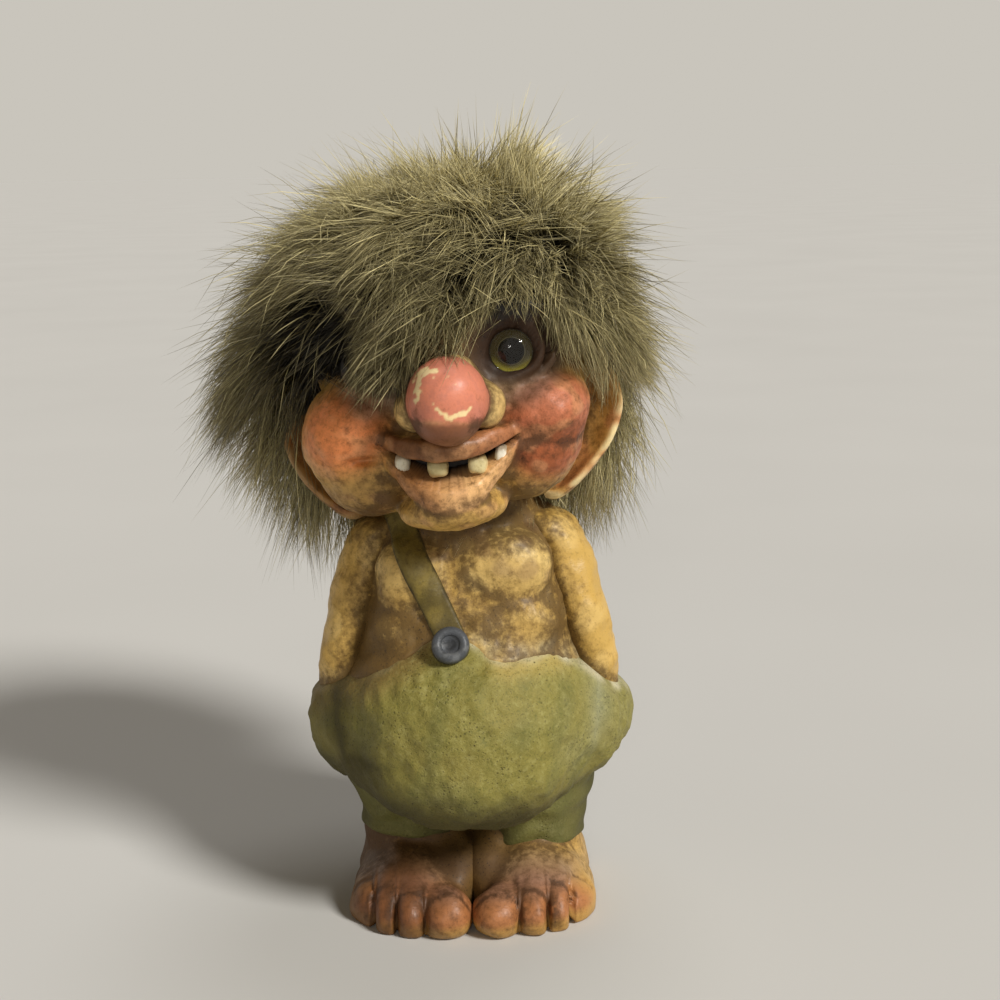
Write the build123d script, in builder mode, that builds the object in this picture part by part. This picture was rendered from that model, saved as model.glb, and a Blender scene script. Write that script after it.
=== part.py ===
from build123d import *
import os
from math import cos, radians, sin, sqrt

# Folk troll figure: a hollow painted rubber casting, glass eyes and a glued-on fur wig.
# Millimetres, +Z up. The figure faces -Y and stands on Z = 0, midway between its feet.
# Left and right are the figure's own, so its left side is +X.

# Casting
WALL = 3.0
FIT = 0.15
SOFT_GAP = 0.3

# Feet
FOOT_WIDTH = 26.6
FOOT_LENGTH = 40.0
FOOT_HEIGHT = 13.0
FOOT_FORWARD = 6.0
FOOT_PITCH = 27.2
TOE_WIDTHS = (10.4, 6.6, 5.6, 4.8)
TOE_OFFSETS = (-7.8, 0.2, 5.6, 9.8)
TOE_HEIGHTS = (9.0, 7.6, 6.8, 6.0)
TOE_REACHES = (9.5, 4.5, 3.5, 2.8)
TOE_LENGTH = 13.0
ANKLE_INSERT = 9.0

# Trousers
HEM_HEIGHT = 11.0
LEG_DIAMETER = 25.0
LEG_BACK = 1.0
BELLY_WIDTH = 59.0
BELLY_DEPTH = 58.0
BELLY_TALL = 47.0
BELLY_RISE = 34.5
BELLY_FORWARD = 11.0
SEAT_WIDTH = 54.0
SEAT_DEPTH = 44.0
SEAT_TALL = 44.0
SEAT_BACK = 10.0
HIP_WIDTH = 73.0
HIP_DEPTH = 46.0
HIP_TALL = 38.0
HIP_DROP = 3.0
WAIST_RISE = 54.0
WAIST_DROP = 19.0
WAISTBAND = 1.4

# Button and strap
BUTTON_DIAMETER = 7.8
BUTTON_THICKNESS = 3.4
BUTTON_DIMPLE = 2.4
BUTTON_EDGE = 0.8
BUTTON_SHANK = 3.0
BUTTON_OFFSET = -3.0
BUTTON_TILT = 30.0
BUTTON_PAD = 6.2
STRAP_WIDTH = 8.0
STRAP_THICKNESS = 1.2
STRAP_LEAN = 27.0

# Torso
CHEST_WIDTH = 52.0
CHEST_DEPTH = 44.0
CHEST_TALL = 60.0
CHEST_FORWARD = 3.0
CHEST_DROP = 3.0
WAIST_LAP = 16.0
BREAST_WIDTH = 15.0
BREAST_TALL = 14.0
BREAST_SPREAD = 21.0
BREAST_RISE = 11.0
NECK_DIAMETER = 22.0
NECK_INSERT = 8.0

# Arms
SHOULDER_RISE = 18.0
SHOULDER_SPREAD = 40.0
SHOULDER_DIAMETER = 13.0
ELBOW_SPREAD = 52.0
ELBOW_RISE = -4.0
ELBOW_DIAMETER = 14.0
WRIST_SPREAD = 60.0
WRIST_RISE = -19.0
WRIST_DIAMETER = 10.0
ARM_FORWARD = 8.0

# Head
HEAD_SHIFT = -2.0
HEAD_RISE = 59.0
SKULL_WIDTH = 62.0
SKULL_DEPTH = 66.0
SKULL_TALL = 54.0
JAW_WIDTH = 52.0
JAW_DEPTH = 52.0
JAW_TALL = 38.0
JAW_DROP = 16.0
JAW_FORWARD = 8.0
CHEEK_WIDTH = 21.0
CHEEK_DEPTH = 24.0
CHEEK_TALL = 25.0
CHEEK_SPREAD = 41.0
CHEEK_DROP = 14.5
MUZZLE_WIDTH = 32.0
MUZZLE_TALL = 18.0
MUZZLE_REACH = 4.5
MUZZLE_DROP = 20.5
CHIN_WIDTH = 23.0
CHIN_TALL = 13.0
CHIN_REACH = 3.0
CHIN_DROP = 29.0
HEAD_WALL = 7.0
POUR_HOLE = 16.0

# Mouth and teeth
MOUTH_WIDTH = 27.0
MOUTH_DEPTH = 7.0
SMILE_CORNER_DROP = 16.5
SMILE_TOP_DROP = 20.2
SMILE_BOTTOM_DROP = 25.2
TOOTH_WIDTH = 4.0
TOOTH_HEIGHT = 4.4
TOOTH_LENGTH = 5.0
TOOTH_OFFSETS = (-8.4, -2.6, 4.6, 9.2)

# Nose
NOSE_DIAMETER = 17.0
NOSE_REACH = 8.0
NOSE_DROP = 7.4
NOSE_SEAT = 2.5
NOSE_PEG = 6.0
WING_DIAMETER = 9.0
WING_SPREAD = 15.0
WING_DROP = 10.0

# Eyes
EYE_DIAMETER = 8.0
EYE_SPREAD = 24.8
EYE_RISE = 0.2
EYE_BULGE = 1.6
EYE_SEAT = 2.4
ORBIT_DIAMETER = 17.0
IRIS_THICKNESS = 0.8
PUPIL_DIAMETER = 3.6
PUPIL_THICKNESS = 0.5
EYE_PIN_DIAMETER = 1.2
EYE_PIN_LENGTH = 4.0

# Ears
EAR_WIDTH = 24.0
EAR_TALL = 36.0
EAR_THICKNESS = 9.0
EAR_RIM = 2.6
EAR_REACH = 5.0
EAR_DROP = 18.0
EAR_FORWARD = 5.0
EAR_TILT = 16.0

# Wig
CAP_THICKNESS = 1.2
HAIRLINE_RISE = 10.0
CAP_NAPE_DROP = 20.0
MOP_WIDTH = 86.0
MOP_DEPTH = 90.0
MOP_TALL = 81.0
MOP_DROP = 5.5
MOP_BACK = 4.0
SWELL_WIDTH = 54.0
SWELL_DEPTH = 52.0
SWELL_TALL = 60.0
SWELL_DROP = 17.0
SWELL_BACK = 3.0
SWELL_ASIDE = 24.0
TUFT_WIDTH = 28.0
TUFT_TALL = 37.0
TUFT_RISE = 22.0
TUFT_BACK = 3.0
TUFT_ASIDE = 20.0
NAPE_WIDTH = 76.0
NAPE_DEPTH = 44.0
NAPE_TALL = 54.0
NAPE_DROP = 32.0
NAPE_BACK = 16.0
FACE_WINDOW_WIDTH = 76.0
FACE_WINDOW_TALL = 53.0
FACE_WINDOW_DROP = 24.0
FACE_WINDOW_TURN = 8.0
PARTING_FRONT = 4.0
CROWN_PARTING = 16.0
SIDE_PARTING = 44.0

# Heights and places that follow from those sizes
leg_x = FOOT_PITCH / 2
belly_z = HEM_HEIGHT + BELLY_RISE
waist_z = HEM_HEIGHT + WAIST_RISE
chest_z = waist_z - CHEST_DROP
head_z = waist_z + HEAD_RISE
belly_y = -BELLY_FORWARD
chest_y = -CHEST_FORWARD
skull_front = -SKULL_DEPTH / 2
far = MOP_DEPTH + MOP_TALL + MOP_WIDTH

os.makedirs("parts", exist_ok=True)


def ellipsoid(center, sizes, grow=0.0, tilt=0.0, mode=Mode.ADD):
    """A ball stretched to three overall sizes, grown by one margin and tilted about the front axis."""
    radii = tuple(size / 2 + grow for size in sizes)
    ball = scale(Rot(0, 0, 90) * Sphere(1, mode=Mode.PRIVATE), by=radii, mode=Mode.PRIVATE)
    add(Pos(*center) * Rot(0, tilt, 0) * ball, mode=mode)


def front_of(center, sizes, x, z):
    """The Y of an ellipsoid's front face at a given X and Z."""
    across = (x - center[0]) / (sizes[0] / 2)
    up = (z - center[2]) / (sizes[2] / 2)
    return center[1] - sizes[1] / 2 * sqrt(1 - across**2 - up**2)


def finish(piece, name):
    """Labels a finished piece and writes it."""
    piece.part.label = name
    export_step(piece.part, f"parts/{name}.step")


# Places and sizes of the rounded masses
BELLY = ((0, belly_y, belly_z), (BELLY_WIDTH, BELLY_DEPTH, BELLY_TALL))
SEAT = ((0, SEAT_BACK, belly_z - HIP_DROP), (SEAT_WIDTH, SEAT_DEPTH, SEAT_TALL))
HIPS = ((0, 0, belly_z - HIP_DROP), (HIP_WIDTH, HIP_DEPTH, HIP_TALL))
CHEST = ((0, chest_y, chest_z), (CHEST_WIDTH, CHEST_DEPTH, CHEST_TALL))
SKULL = ((HEAD_SHIFT, 0, head_z), (SKULL_WIDTH, SKULL_DEPTH, SKULL_TALL))
JAW = ((HEAD_SHIFT, -JAW_FORWARD, head_z - JAW_DROP), (JAW_WIDTH, JAW_DEPTH, JAW_TALL))
jaw_front = -JAW_FORWARD - JAW_DEPTH / 2
cheek_y = -JAW_FORWARD - JAW_DEPTH / 4
muzzle_y = jaw_front - MUZZLE_REACH + MUZZLE_WIDTH / 2
chin_y = jaw_front - CHIN_REACH + CHIN_WIDTH / 2
CHEEK_SIZES = (CHEEK_WIDTH, CHEEK_DEPTH, CHEEK_TALL)
HEAD_MASSES = (
    SKULL,
    JAW,
    ((HEAD_SHIFT - CHEEK_SPREAD / 2, cheek_y, head_z - CHEEK_DROP), CHEEK_SIZES),
    ((HEAD_SHIFT + CHEEK_SPREAD / 2, cheek_y, head_z - CHEEK_DROP), CHEEK_SIZES),
    ((HEAD_SHIFT, muzzle_y, head_z - MUZZLE_DROP), (MUZZLE_WIDTH, MUZZLE_WIDTH, MUZZLE_TALL)),
    ((HEAD_SHIFT, chin_y, head_z - CHIN_DROP), (CHIN_WIDTH, CHIN_WIDTH, CHIN_TALL)),
)


def chest_masses(grow=0.0):
    """The chest and its two breasts, grown by one margin."""
    ellipsoid(*CHEST, grow=grow)
    for side in (-1, 1):
        breast_x = side * BREAST_SPREAD / 2
        breast_z = chest_z + BREAST_RISE
        breast_y = front_of(*CHEST, breast_x, breast_z) + BREAST_WIDTH / 4
        ellipsoid((breast_x, breast_y, breast_z), (BREAST_WIDTH, BREAST_WIDTH, BREAST_TALL), grow=grow)


# Torso form: the solid outline of the chest, before it is hollowed
with BuildPart() as torso_form:
    chest_masses()

# Trouser legs: two short tubes, which the feet plug into
with BuildPart() as leg_form:
    with BuildSketch(Plane.XY.offset(HEM_HEIGHT)):
        with Locations((-leg_x, LEG_BACK), (leg_x, LEG_BACK)):
            Circle(LEG_DIAMETER / 2)
    extrude(amount=belly_z - HEM_HEIGHT)

# The button's seat on the slope above the belly
button_z = waist_z - BUTTON_PAD / 4
button_seat = Vector(BUTTON_OFFSET, front_of(*BELLY, BUTTON_OFFSET, button_z), button_z)
button_axis = Vector(0, -cos(radians(BUTTON_TILT)), sin(radians(BUTTON_TILT)))
button_plane = Plane(button_seat, x_dir=(1, 0, 0), z_dir=button_axis)

# Bib: the round tab of the trouser front that carries the button
with BuildPart() as bib_form:
    ellipsoid(*BELLY)
    ellipsoid(*CHEST, grow=WAISTBAND)
    with BuildSketch(Plane.XZ):
        with Locations((BUTTON_OFFSET, button_z)):
            Circle(BUTTON_PAD)
    extrude(amount=far, mode=Mode.INTERSECT)

# Trouser form: belly, seat, hips and legs under a waistband that dips to the pockets
with BuildPart() as trouser_form:
    for mass in (BELLY, SEAT, HIPS):
        ellipsoid(*mass)
    ellipsoid(*CHEST, grow=WAISTBAND)
    add(leg_form.part)
    with BuildSketch(Plane.XZ.offset(-far)):
        with BuildLine():
            dip_z = waist_z - WAIST_DROP
            waist_line = ThreePointArc((-HIP_WIDTH / 2, dip_z), (0, waist_z), (HIP_WIDTH / 2, dip_z))
            Polyline(waist_line @ 1, (far, dip_z), (far, far), (-far, far), (-far, dip_z), waist_line @ 0)
        make_face()
    extrude(amount=2 * far, mode=Mode.SUBTRACT)
    add(bib_form.part)

# Trousers: the form hollowed to one wall, open at the waist for the torso and at both hems
with BuildPart() as trousers:
    add(trouser_form.part)
    for mass in (BELLY, SEAT, HIPS):
        ellipsoid(*mass, grow=-WALL, mode=Mode.SUBTRACT)
    ellipsoid(*CHEST, grow=FIT, mode=Mode.SUBTRACT)
    with BuildSketch(Plane.XY.offset(HEM_HEIGHT)):
        with Locations((-leg_x, LEG_BACK), (leg_x, LEG_BACK)):
            Circle(LEG_DIAMETER / 2 - WALL)
    extrude(amount=belly_z - HEM_HEIGHT, mode=Mode.SUBTRACT)
    with BuildSketch(button_plane):
        Circle(BUTTON_SHANK / 2 + FIT)
    extrude(amount=2 * BUTTON_THICKNESS, both=True, mode=Mode.SUBTRACT)
    add(torso_form.part, mode=Mode.SUBTRACT)
finish(trousers, "trousers")

# Button: a dished disc on a shank through the trouser front
with BuildPart() as button:
    with BuildSketch(button_plane.offset(-BUTTON_THICKNESS / 2)):
        Circle(BUTTON_DIAMETER / 2)
    extrude(amount=BUTTON_THICKNESS * 1.5)
    fillet(button.edges().sort_by(Axis(button_seat, button_axis))[-1], radius=BUTTON_EDGE)
    with Locations(button_plane.offset(BUTTON_THICKNESS)):
        Sphere(BUTTON_DIMPLE / 2, mode=Mode.SUBTRACT)
    add(trouser_form.part, mode=Mode.SUBTRACT)
    add(torso_form.part, mode=Mode.SUBTRACT)
    with BuildSketch(button_plane.offset(BUTTON_THICKNESS / 2)):
        Circle(BUTTON_SHANK / 2)
    extrude(amount=-BUTTON_THICKNESS / 2 - WALL)
    add(torso_form.part, mode=Mode.SUBTRACT)
finish(button, "button")

# Neck form: the spigot that the head is set down on
neck_top = head_z - JAW_DROP - JAW_TALL / 2 + NECK_INSERT + WALL
with BuildPart() as neck_form:
    with BuildSketch(Plane.XY.offset(chest_z)):
        with Locations((HEAD_SHIFT, 0)):
            Circle(NECK_DIAMETER / 2)
    extrude(amount=neck_top - chest_z)

# Torso: the chest form hollowed, lapped into the trousers and carried up as a neck spigot
with BuildPart() as torso:
    add(torso_form.part)
    add(neck_form.part)
    ellipsoid(*CHEST, grow=-WALL, mode=Mode.SUBTRACT)
    with BuildSketch(Plane.XY.offset(chest_z)):
        with Locations((HEAD_SHIFT, 0)):
            Circle(NECK_DIAMETER / 2 - WALL)
    extrude(amount=neck_top - chest_z, mode=Mode.SUBTRACT)
    split(bisect_by=Plane.XY.offset(waist_z - WAIST_LAP), keep=Keep.TOP)
finish(torso, "torso")

# Head form: skull, jaw, cheeks, muzzle and chin as one rounded mass
with BuildPart() as head_form:
    for mass in HEAD_MASSES:
        ellipsoid(*mass)

# Mouth form: the crescent of the smile, carried straight back to the gums
gum_y = jaw_front - MUZZLE_REACH + MOUTH_DEPTH
with BuildPart() as mouth_form:
    with BuildSketch(Plane.XZ.offset(-gum_y)):
        with BuildLine():
            corner_z = head_z - SMILE_CORNER_DROP
            left_corner = (HEAD_SHIFT + MOUTH_WIDTH / 2, corner_z)
            right_corner = (HEAD_SHIFT - MOUTH_WIDTH / 2, corner_z)
            ThreePointArc(left_corner, (HEAD_SHIFT, head_z - SMILE_TOP_DROP), right_corner)
            ThreePointArc(right_corner, (HEAD_SHIFT, head_z - SMILE_BOTTOM_DROP), left_corner)
        make_face()
    extrude(amount=far)

# Eye places: each eye looks straight ahead from a seat sunk in the face
eye_z = head_z + EYE_RISE
eye_y = front_of(*SKULL, HEAD_SHIFT + EYE_SPREAD / 2, eye_z) + EYE_SEAT
eye_x = {"left": HEAD_SHIFT + EYE_SPREAD / 2, "right": HEAD_SHIFT - EYE_SPREAD / 2}

# Nose place: the bulb stands proud of a flat seat in the face and a peg ties it in
nose_balls = (
    ((HEAD_SHIFT, skull_front - NOSE_REACH, head_z - NOSE_DROP), NOSE_DIAMETER),
    ((HEAD_SHIFT - WING_SPREAD / 2, skull_front, head_z - WING_DROP), WING_DIAMETER),
    ((HEAD_SHIFT + WING_SPREAD / 2, skull_front, head_z - WING_DROP), WING_DIAMETER),
)
nose_seat_y = skull_front + NOSE_SEAT
peg_end = nose_seat_y + NOSE_PEG

# Head: the form with a hollow, a neck bore, a pour hole, a smile and seats for eyes and nose
with BuildPart() as head:
    add(head_form.part)
    ellipsoid((HEAD_SHIFT, WALL, head_z), SKULL[1], grow=-HEAD_WALL, mode=Mode.SUBTRACT)
    with BuildSketch(Plane.XY.offset(head_z)):
        with Locations((HEAD_SHIFT, 0)):
            Circle(POUR_HOLE / 2)
    extrude(amount=SKULL_TALL, mode=Mode.SUBTRACT)
    add(torso_form.part, mode=Mode.SUBTRACT)
    with BuildSketch(Plane.XY.offset(chest_z)):
        with Locations((HEAD_SHIFT, 0)):
            Circle(NECK_DIAMETER / 2 + FIT)
    extrude(amount=neck_top + FIT - chest_z, mode=Mode.SUBTRACT)
    add(mouth_form.part, mode=Mode.SUBTRACT)
    for x in eye_x.values():
        with Locations((x, eye_y - EYE_SEAT - ORBIT_DIAMETER / 3, eye_z)):
            Sphere(ORBIT_DIAMETER / 2, mode=Mode.SUBTRACT)
        with BuildSketch(Plane.XZ.offset(-eye_y)):
            with Locations((x, eye_z)):
                Circle(EYE_DIAMETER / 2 + FIT)
        extrude(amount=far, mode=Mode.SUBTRACT)
        with BuildSketch(Plane.XZ.offset(-eye_y - EYE_PIN_LENGTH)):
            with Locations((x, eye_z)):
                Circle(EYE_PIN_DIAMETER / 2)
        extrude(amount=EYE_PIN_LENGTH, mode=Mode.SUBTRACT)
    for (x, y, z), diameter in nose_balls:
        with BuildSketch(Plane.XZ.offset(-nose_seat_y)):
            with Locations((x, z)):
                Circle(diameter / 2 + FIT)
        extrude(amount=far, mode=Mode.SUBTRACT)
    with BuildSketch(Plane.XZ.offset(-peg_end)):
        with Locations((HEAD_SHIFT, head_z - NOSE_DROP)):
            Circle(NOSE_PEG / 2 + FIT)
    extrude(amount=far, mode=Mode.SUBTRACT)
finish(head, "head")

# Crown plug: the stopper that closes the pour hole, flush with the skull
with BuildPart() as crown_plug:
    with BuildSketch(Plane.XY.offset(head_z + SKULL_TALL / 2 - HEAD_WALL)):
        with Locations((HEAD_SHIFT, 0)):
            Circle(POUR_HOLE / 2 - FIT)
    extrude(amount=SKULL_TALL)
    ellipsoid(*SKULL, mode=Mode.INTERSECT)
finish(crown_plug, "crown_plug")

# Teeth: four worn pegs set in the back of the smile
tooth_z = head_z - (SMILE_TOP_DROP + SMILE_BOTTOM_DROP) / 2
with BuildPart() as teeth:
    for offset_x in TOOTH_OFFSETS:
        bow = (SMILE_TOP_DROP - SMILE_CORNER_DROP) * (2 * offset_x / MOUTH_WIDTH) ** 2
        ellipsoid((HEAD_SHIFT + offset_x, gum_y, tooth_z + bow),
                  (TOOTH_WIDTH, 2 * TOOTH_LENGTH, TOOTH_HEIGHT))
    add(mouth_form.part, mode=Mode.INTERSECT)
finish(teeth, "teeth")

# Nose: a bulb with a nostril wing on each side, a flat back and a peg into the face
with BuildPart() as nose:
    for center, diameter in nose_balls:
        with Locations(center):
            Sphere(diameter / 2)
    split(bisect_by=Plane.XZ.offset(-nose_seat_y), keep=Keep.TOP)
    with BuildSketch(Plane.XZ.offset(-peg_end)):
        with Locations((HEAD_SHIFT, head_z - NOSE_DROP)):
            Circle(NOSE_PEG / 2)
    extrude(amount=NOSE_PEG + NOSE_SEAT + NOSE_REACH)
finish(nose, "nose")

# Eyes: a pin in the face carries an iris disc, a pupil and a clear dome
dome_rise = EYE_BULGE + EYE_SEAT - IRIS_THICKNESS
dome_radius = (dome_rise**2 + (EYE_DIAMETER / 2) ** 2) / (2 * dome_rise)
for side, x in eye_x.items():
    with BuildPart() as eye_pin:
        with BuildSketch(Plane.XZ.offset(-eye_y - EYE_PIN_LENGTH)):
            with Locations((x, eye_z)):
                Circle(EYE_PIN_DIAMETER / 2)
        extrude(amount=EYE_PIN_LENGTH)
    finish(eye_pin, f"{side}_eye_pin")
    with BuildPart() as eye_iris:
        with BuildSketch(Plane.XZ.offset(-eye_y)):
            with Locations((x, eye_z)):
                Circle(EYE_DIAMETER / 2)
        extrude(amount=IRIS_THICKNESS)
    finish(eye_iris, f"{side}_eye_iris")
    with BuildPart() as eye_pupil:
        with BuildSketch(Plane.XZ.offset(-eye_y + IRIS_THICKNESS)):
            with Locations((x, eye_z)):
                Circle(PUPIL_DIAMETER / 2)
        extrude(amount=PUPIL_THICKNESS)
    finish(eye_pupil, f"{side}_eye_pupil")
    with BuildPart() as eye_glass:
        with Locations((x, eye_y - IRIS_THICKNESS - dome_rise + dome_radius, eye_z)):
            Sphere(dome_radius)
        split(bisect_by=Plane.XZ.offset(-eye_y + IRIS_THICKNESS), keep=Keep.TOP)
        add(eye_pupil.part, mode=Mode.SUBTRACT)
    finish(eye_glass, f"{side}_eye_glass")

# Arms: a shoulder, an elbow and a wrist joined by two tapers, with the hand in its pocket
arms = []
for side, sign in (("left", 1), ("right", -1)):
    arm_stations = (
        ((sign * SHOULDER_SPREAD / 2, -ARM_FORWARD, chest_z + SHOULDER_RISE), SHOULDER_DIAMETER),
        ((sign * ELBOW_SPREAD / 2, -ARM_FORWARD, chest_z + ELBOW_RISE), ELBOW_DIAMETER),
        ((sign * WRIST_SPREAD / 2, -ARM_FORWARD, chest_z + WRIST_RISE), WRIST_DIAMETER),
    )
    with BuildPart() as arm:
        for (start, start_diameter), (end, end_diameter) in zip(arm_stations, arm_stations[1:]):
            along = Vector(end) - Vector(start)
            with BuildSketch(Plane(start, z_dir=along)):
                Circle(start_diameter / 2)
            with BuildSketch(Plane(end, z_dir=along)):
                Circle(end_diameter / 2)
            loft()
        for station, diameter in arm_stations:
            with Locations(station):
                Sphere(diameter / 2)
        add(trouser_form.part, mode=Mode.SUBTRACT)
        add(torso_form.part, mode=Mode.SUBTRACT)
        add(head_form.part, mode=Mode.SUBTRACT)
    finish(arm, f"{side}_arm")
    arms.append(arm.part)

# Feet: a flat-soled half ellipsoid with four toes and an ankle stub up the trouser leg
for side, sign in (("left", 1), ("right", -1)):
    sole = ((sign * leg_x, -FOOT_FORWARD, 0), (FOOT_WIDTH, FOOT_LENGTH, 2 * FOOT_HEIGHT))
    with BuildPart() as foot:
        ellipsoid(*sole)
        for width, offset_x, height, reach in zip(TOE_WIDTHS, TOE_OFFSETS, TOE_HEIGHTS, TOE_REACHES):
            toe_x = sign * (leg_x + offset_x)
            toe_y = front_of(*sole, toe_x, 0) - reach + TOE_LENGTH / 2
            ellipsoid((toe_x, toe_y, height / 3), (width, TOE_LENGTH, height * 4 / 3))
        split(bisect_by=Plane.XY, keep=Keep.TOP)
        add(trouser_form.part, mode=Mode.SUBTRACT)
        with BuildSketch(Plane.XY.offset(HEM_HEIGHT / 2)):
            with Locations((sign * leg_x, LEG_BACK)):
                Circle(LEG_DIAMETER / 2 - WALL - FIT)
        extrude(amount=HEM_HEIGHT / 2 + ANKLE_INSERT)
    finish(foot, f"{side}_foot")

# Ears: a dished leaf on each side of the jaw
ears = []
for side, sign in (("left", 1), ("right", -1)):
    ear_x = HEAD_SHIFT + sign * (SKULL_WIDTH / 2 + EAR_REACH - EAR_WIDTH / 2)
    ear_z = head_z - EAR_DROP
    ear_turn = sign * EAR_TILT
    with BuildPart() as ear:
        ellipsoid((ear_x, -EAR_FORWARD, ear_z), (EAR_WIDTH, EAR_THICKNESS, EAR_TALL), tilt=ear_turn)
        ellipsoid((ear_x, -EAR_FORWARD - EAR_THICKNESS / 2, ear_z), (EAR_WIDTH, EAR_THICKNESS, EAR_TALL),
                  grow=-EAR_RIM, tilt=ear_turn, mode=Mode.SUBTRACT)
        add(head_form.part, mode=Mode.SUBTRACT)
        add(torso.part, mode=Mode.SUBTRACT)
        add(arms, mode=Mode.SUBTRACT)
    finish(ear, f"{side}_ear")
    ears.append(ear.part)

# Strap: a band over the figure's right shoulder, from the button to the back of the waist
with BuildPart() as strap:
    chest_masses(grow=STRAP_THICKNESS)
    with BuildSketch(Plane.XZ.offset(-far)):
        with Locations((BUTTON_OFFSET, button_z)):
            Rectangle(STRAP_WIDTH, CHEST_TALL, rotation=STRAP_LEAN, align=(Align.CENTER, Align.MIN))
    extrude(amount=2 * far, mode=Mode.INTERSECT)
    add(neck_form.part, mode=Mode.SUBTRACT)
    add(torso_form.part, mode=Mode.SUBTRACT)
    add(trouser_form.part, mode=Mode.SUBTRACT)
    add(button.part, mode=Mode.SUBTRACT)
    add(head_form.part, mode=Mode.SUBTRACT)
    add(arms, mode=Mode.SUBTRACT)
finish(strap, "strap")

# Wig cap: the backing over the scalp, open at the face and ended at the nape
with BuildPart() as wig_cap:
    ellipsoid(*SKULL, grow=CAP_THICKNESS)
    add(head_form.part, mode=Mode.SUBTRACT)
    add(ears, mode=Mode.SUBTRACT)
    with BuildSketch(Plane.XZ.offset(PARTING_FRONT)):
        with Locations((HEAD_SHIFT, head_z + HAIRLINE_RISE - far / 2)):
            Rectangle(far, far)
    extrude(amount=far, mode=Mode.SUBTRACT)
    split(bisect_by=Plane.XY.offset(head_z - CAP_NAPE_DROP), keep=Keep.TOP)
finish(wig_cap, "wig_cap")

# Fur form: the mop, its full right side, the tuft and the nape, cleared of the face, ears and shoulders
with BuildPart() as fur_form:
    ellipsoid((HEAD_SHIFT, MOP_BACK, head_z - MOP_DROP), (MOP_WIDTH, MOP_DEPTH, MOP_TALL))
    ellipsoid((HEAD_SHIFT - SWELL_ASIDE, SWELL_BACK, head_z - SWELL_DROP), (SWELL_WIDTH, SWELL_DEPTH, SWELL_TALL))
    ellipsoid((HEAD_SHIFT + TUFT_ASIDE, TUFT_BACK, head_z + TUFT_RISE), (TUFT_WIDTH, TUFT_WIDTH, TUFT_TALL))
    ellipsoid((HEAD_SHIFT, NAPE_BACK, head_z - NAPE_DROP), (NAPE_WIDTH, NAPE_DEPTH, NAPE_TALL))
    ellipsoid(*SKULL, grow=CAP_THICKNESS + SOFT_GAP, mode=Mode.SUBTRACT)
    add(head_form.part, mode=Mode.SUBTRACT)
    add(neck_form.part, mode=Mode.SUBTRACT)
    add(torso_form.part, mode=Mode.SUBTRACT)
    add(arms, mode=Mode.SUBTRACT)
    add(ears, mode=Mode.SUBTRACT)
    add(strap.part, mode=Mode.SUBTRACT)
    add(trouser_form.part, mode=Mode.SUBTRACT)
    add(nose.part, mode=Mode.SUBTRACT)
    for x in eye_x.values():
        with Locations((x, eye_y, eye_z)):
            Sphere(EYE_DIAMETER / 2 + EYE_SEAT + EYE_BULGE + SOFT_GAP, mode=Mode.SUBTRACT)
    with BuildSketch(Plane.XZ.offset(PARTING_FRONT)):
        with Locations((HEAD_SHIFT, head_z - FACE_WINDOW_DROP)):
            Ellipse(FACE_WINDOW_WIDTH / 2, FACE_WINDOW_TALL / 2, rotation=FACE_WINDOW_TURN)
        with Locations((HEAD_SHIFT, head_z - FACE_WINDOW_DROP - far / 2)):
            Rectangle(2 * far, far)
    extrude(amount=far, mode=Mode.SUBTRACT)

# Fur pieces: the mop parted into the locks that are combed one way
crown_cut = Plane.XY.offset(head_z + CROWN_PARTING)
front_cut = Plane.XZ.offset(PARTING_FRONT)
left_cut = Plane.YZ.offset(HEAD_SHIFT + SIDE_PARTING / 2)
right_cut = Plane.YZ.offset(HEAD_SHIFT - SIDE_PARTING / 2)
fur_pieces = {
    "crown_fur": ((crown_cut, Keep.TOP),),
    "fringe_fur": ((crown_cut, Keep.BOTTOM), (front_cut, Keep.TOP)),
    "left_fur": ((crown_cut, Keep.BOTTOM), (front_cut, Keep.BOTTOM), (left_cut, Keep.TOP)),
    "right_fur": ((crown_cut, Keep.BOTTOM), (front_cut, Keep.BOTTOM), (right_cut, Keep.BOTTOM)),
    "back_fur": ((crown_cut, Keep.BOTTOM), (front_cut, Keep.BOTTOM),
                 (left_cut, Keep.BOTTOM), (right_cut, Keep.TOP)),
}
for name, cuts in fur_pieces.items():
    with BuildPart() as fur:
        add(fur_form.part)
        for plane, keep in cuts:
            split(bisect_by=plane, keep=keep)
    finish(fur, name)
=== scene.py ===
import math

import bpy
import numpy as np
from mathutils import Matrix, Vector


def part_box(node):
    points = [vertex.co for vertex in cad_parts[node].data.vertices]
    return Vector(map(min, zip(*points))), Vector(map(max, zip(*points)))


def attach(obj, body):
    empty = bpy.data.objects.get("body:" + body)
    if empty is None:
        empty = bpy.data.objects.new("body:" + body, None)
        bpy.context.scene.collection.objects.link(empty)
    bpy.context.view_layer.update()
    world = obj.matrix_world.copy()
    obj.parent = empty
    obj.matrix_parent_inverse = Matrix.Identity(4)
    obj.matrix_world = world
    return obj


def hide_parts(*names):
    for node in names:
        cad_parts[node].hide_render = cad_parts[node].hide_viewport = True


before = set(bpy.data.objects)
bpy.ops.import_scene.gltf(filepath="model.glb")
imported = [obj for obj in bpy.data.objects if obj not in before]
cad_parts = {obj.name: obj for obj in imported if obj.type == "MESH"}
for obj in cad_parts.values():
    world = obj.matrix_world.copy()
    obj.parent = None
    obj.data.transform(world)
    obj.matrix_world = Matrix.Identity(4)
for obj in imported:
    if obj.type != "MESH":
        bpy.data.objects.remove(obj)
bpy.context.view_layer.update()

# Feet. Two broad bare feet of the hollow rubber casting, four toes each. They are brushed ochre with a
# red blush on the toes and a dark wash rubbed into the clefts, and the ankles run up into the trouser legs.
MM = 0.001
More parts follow.
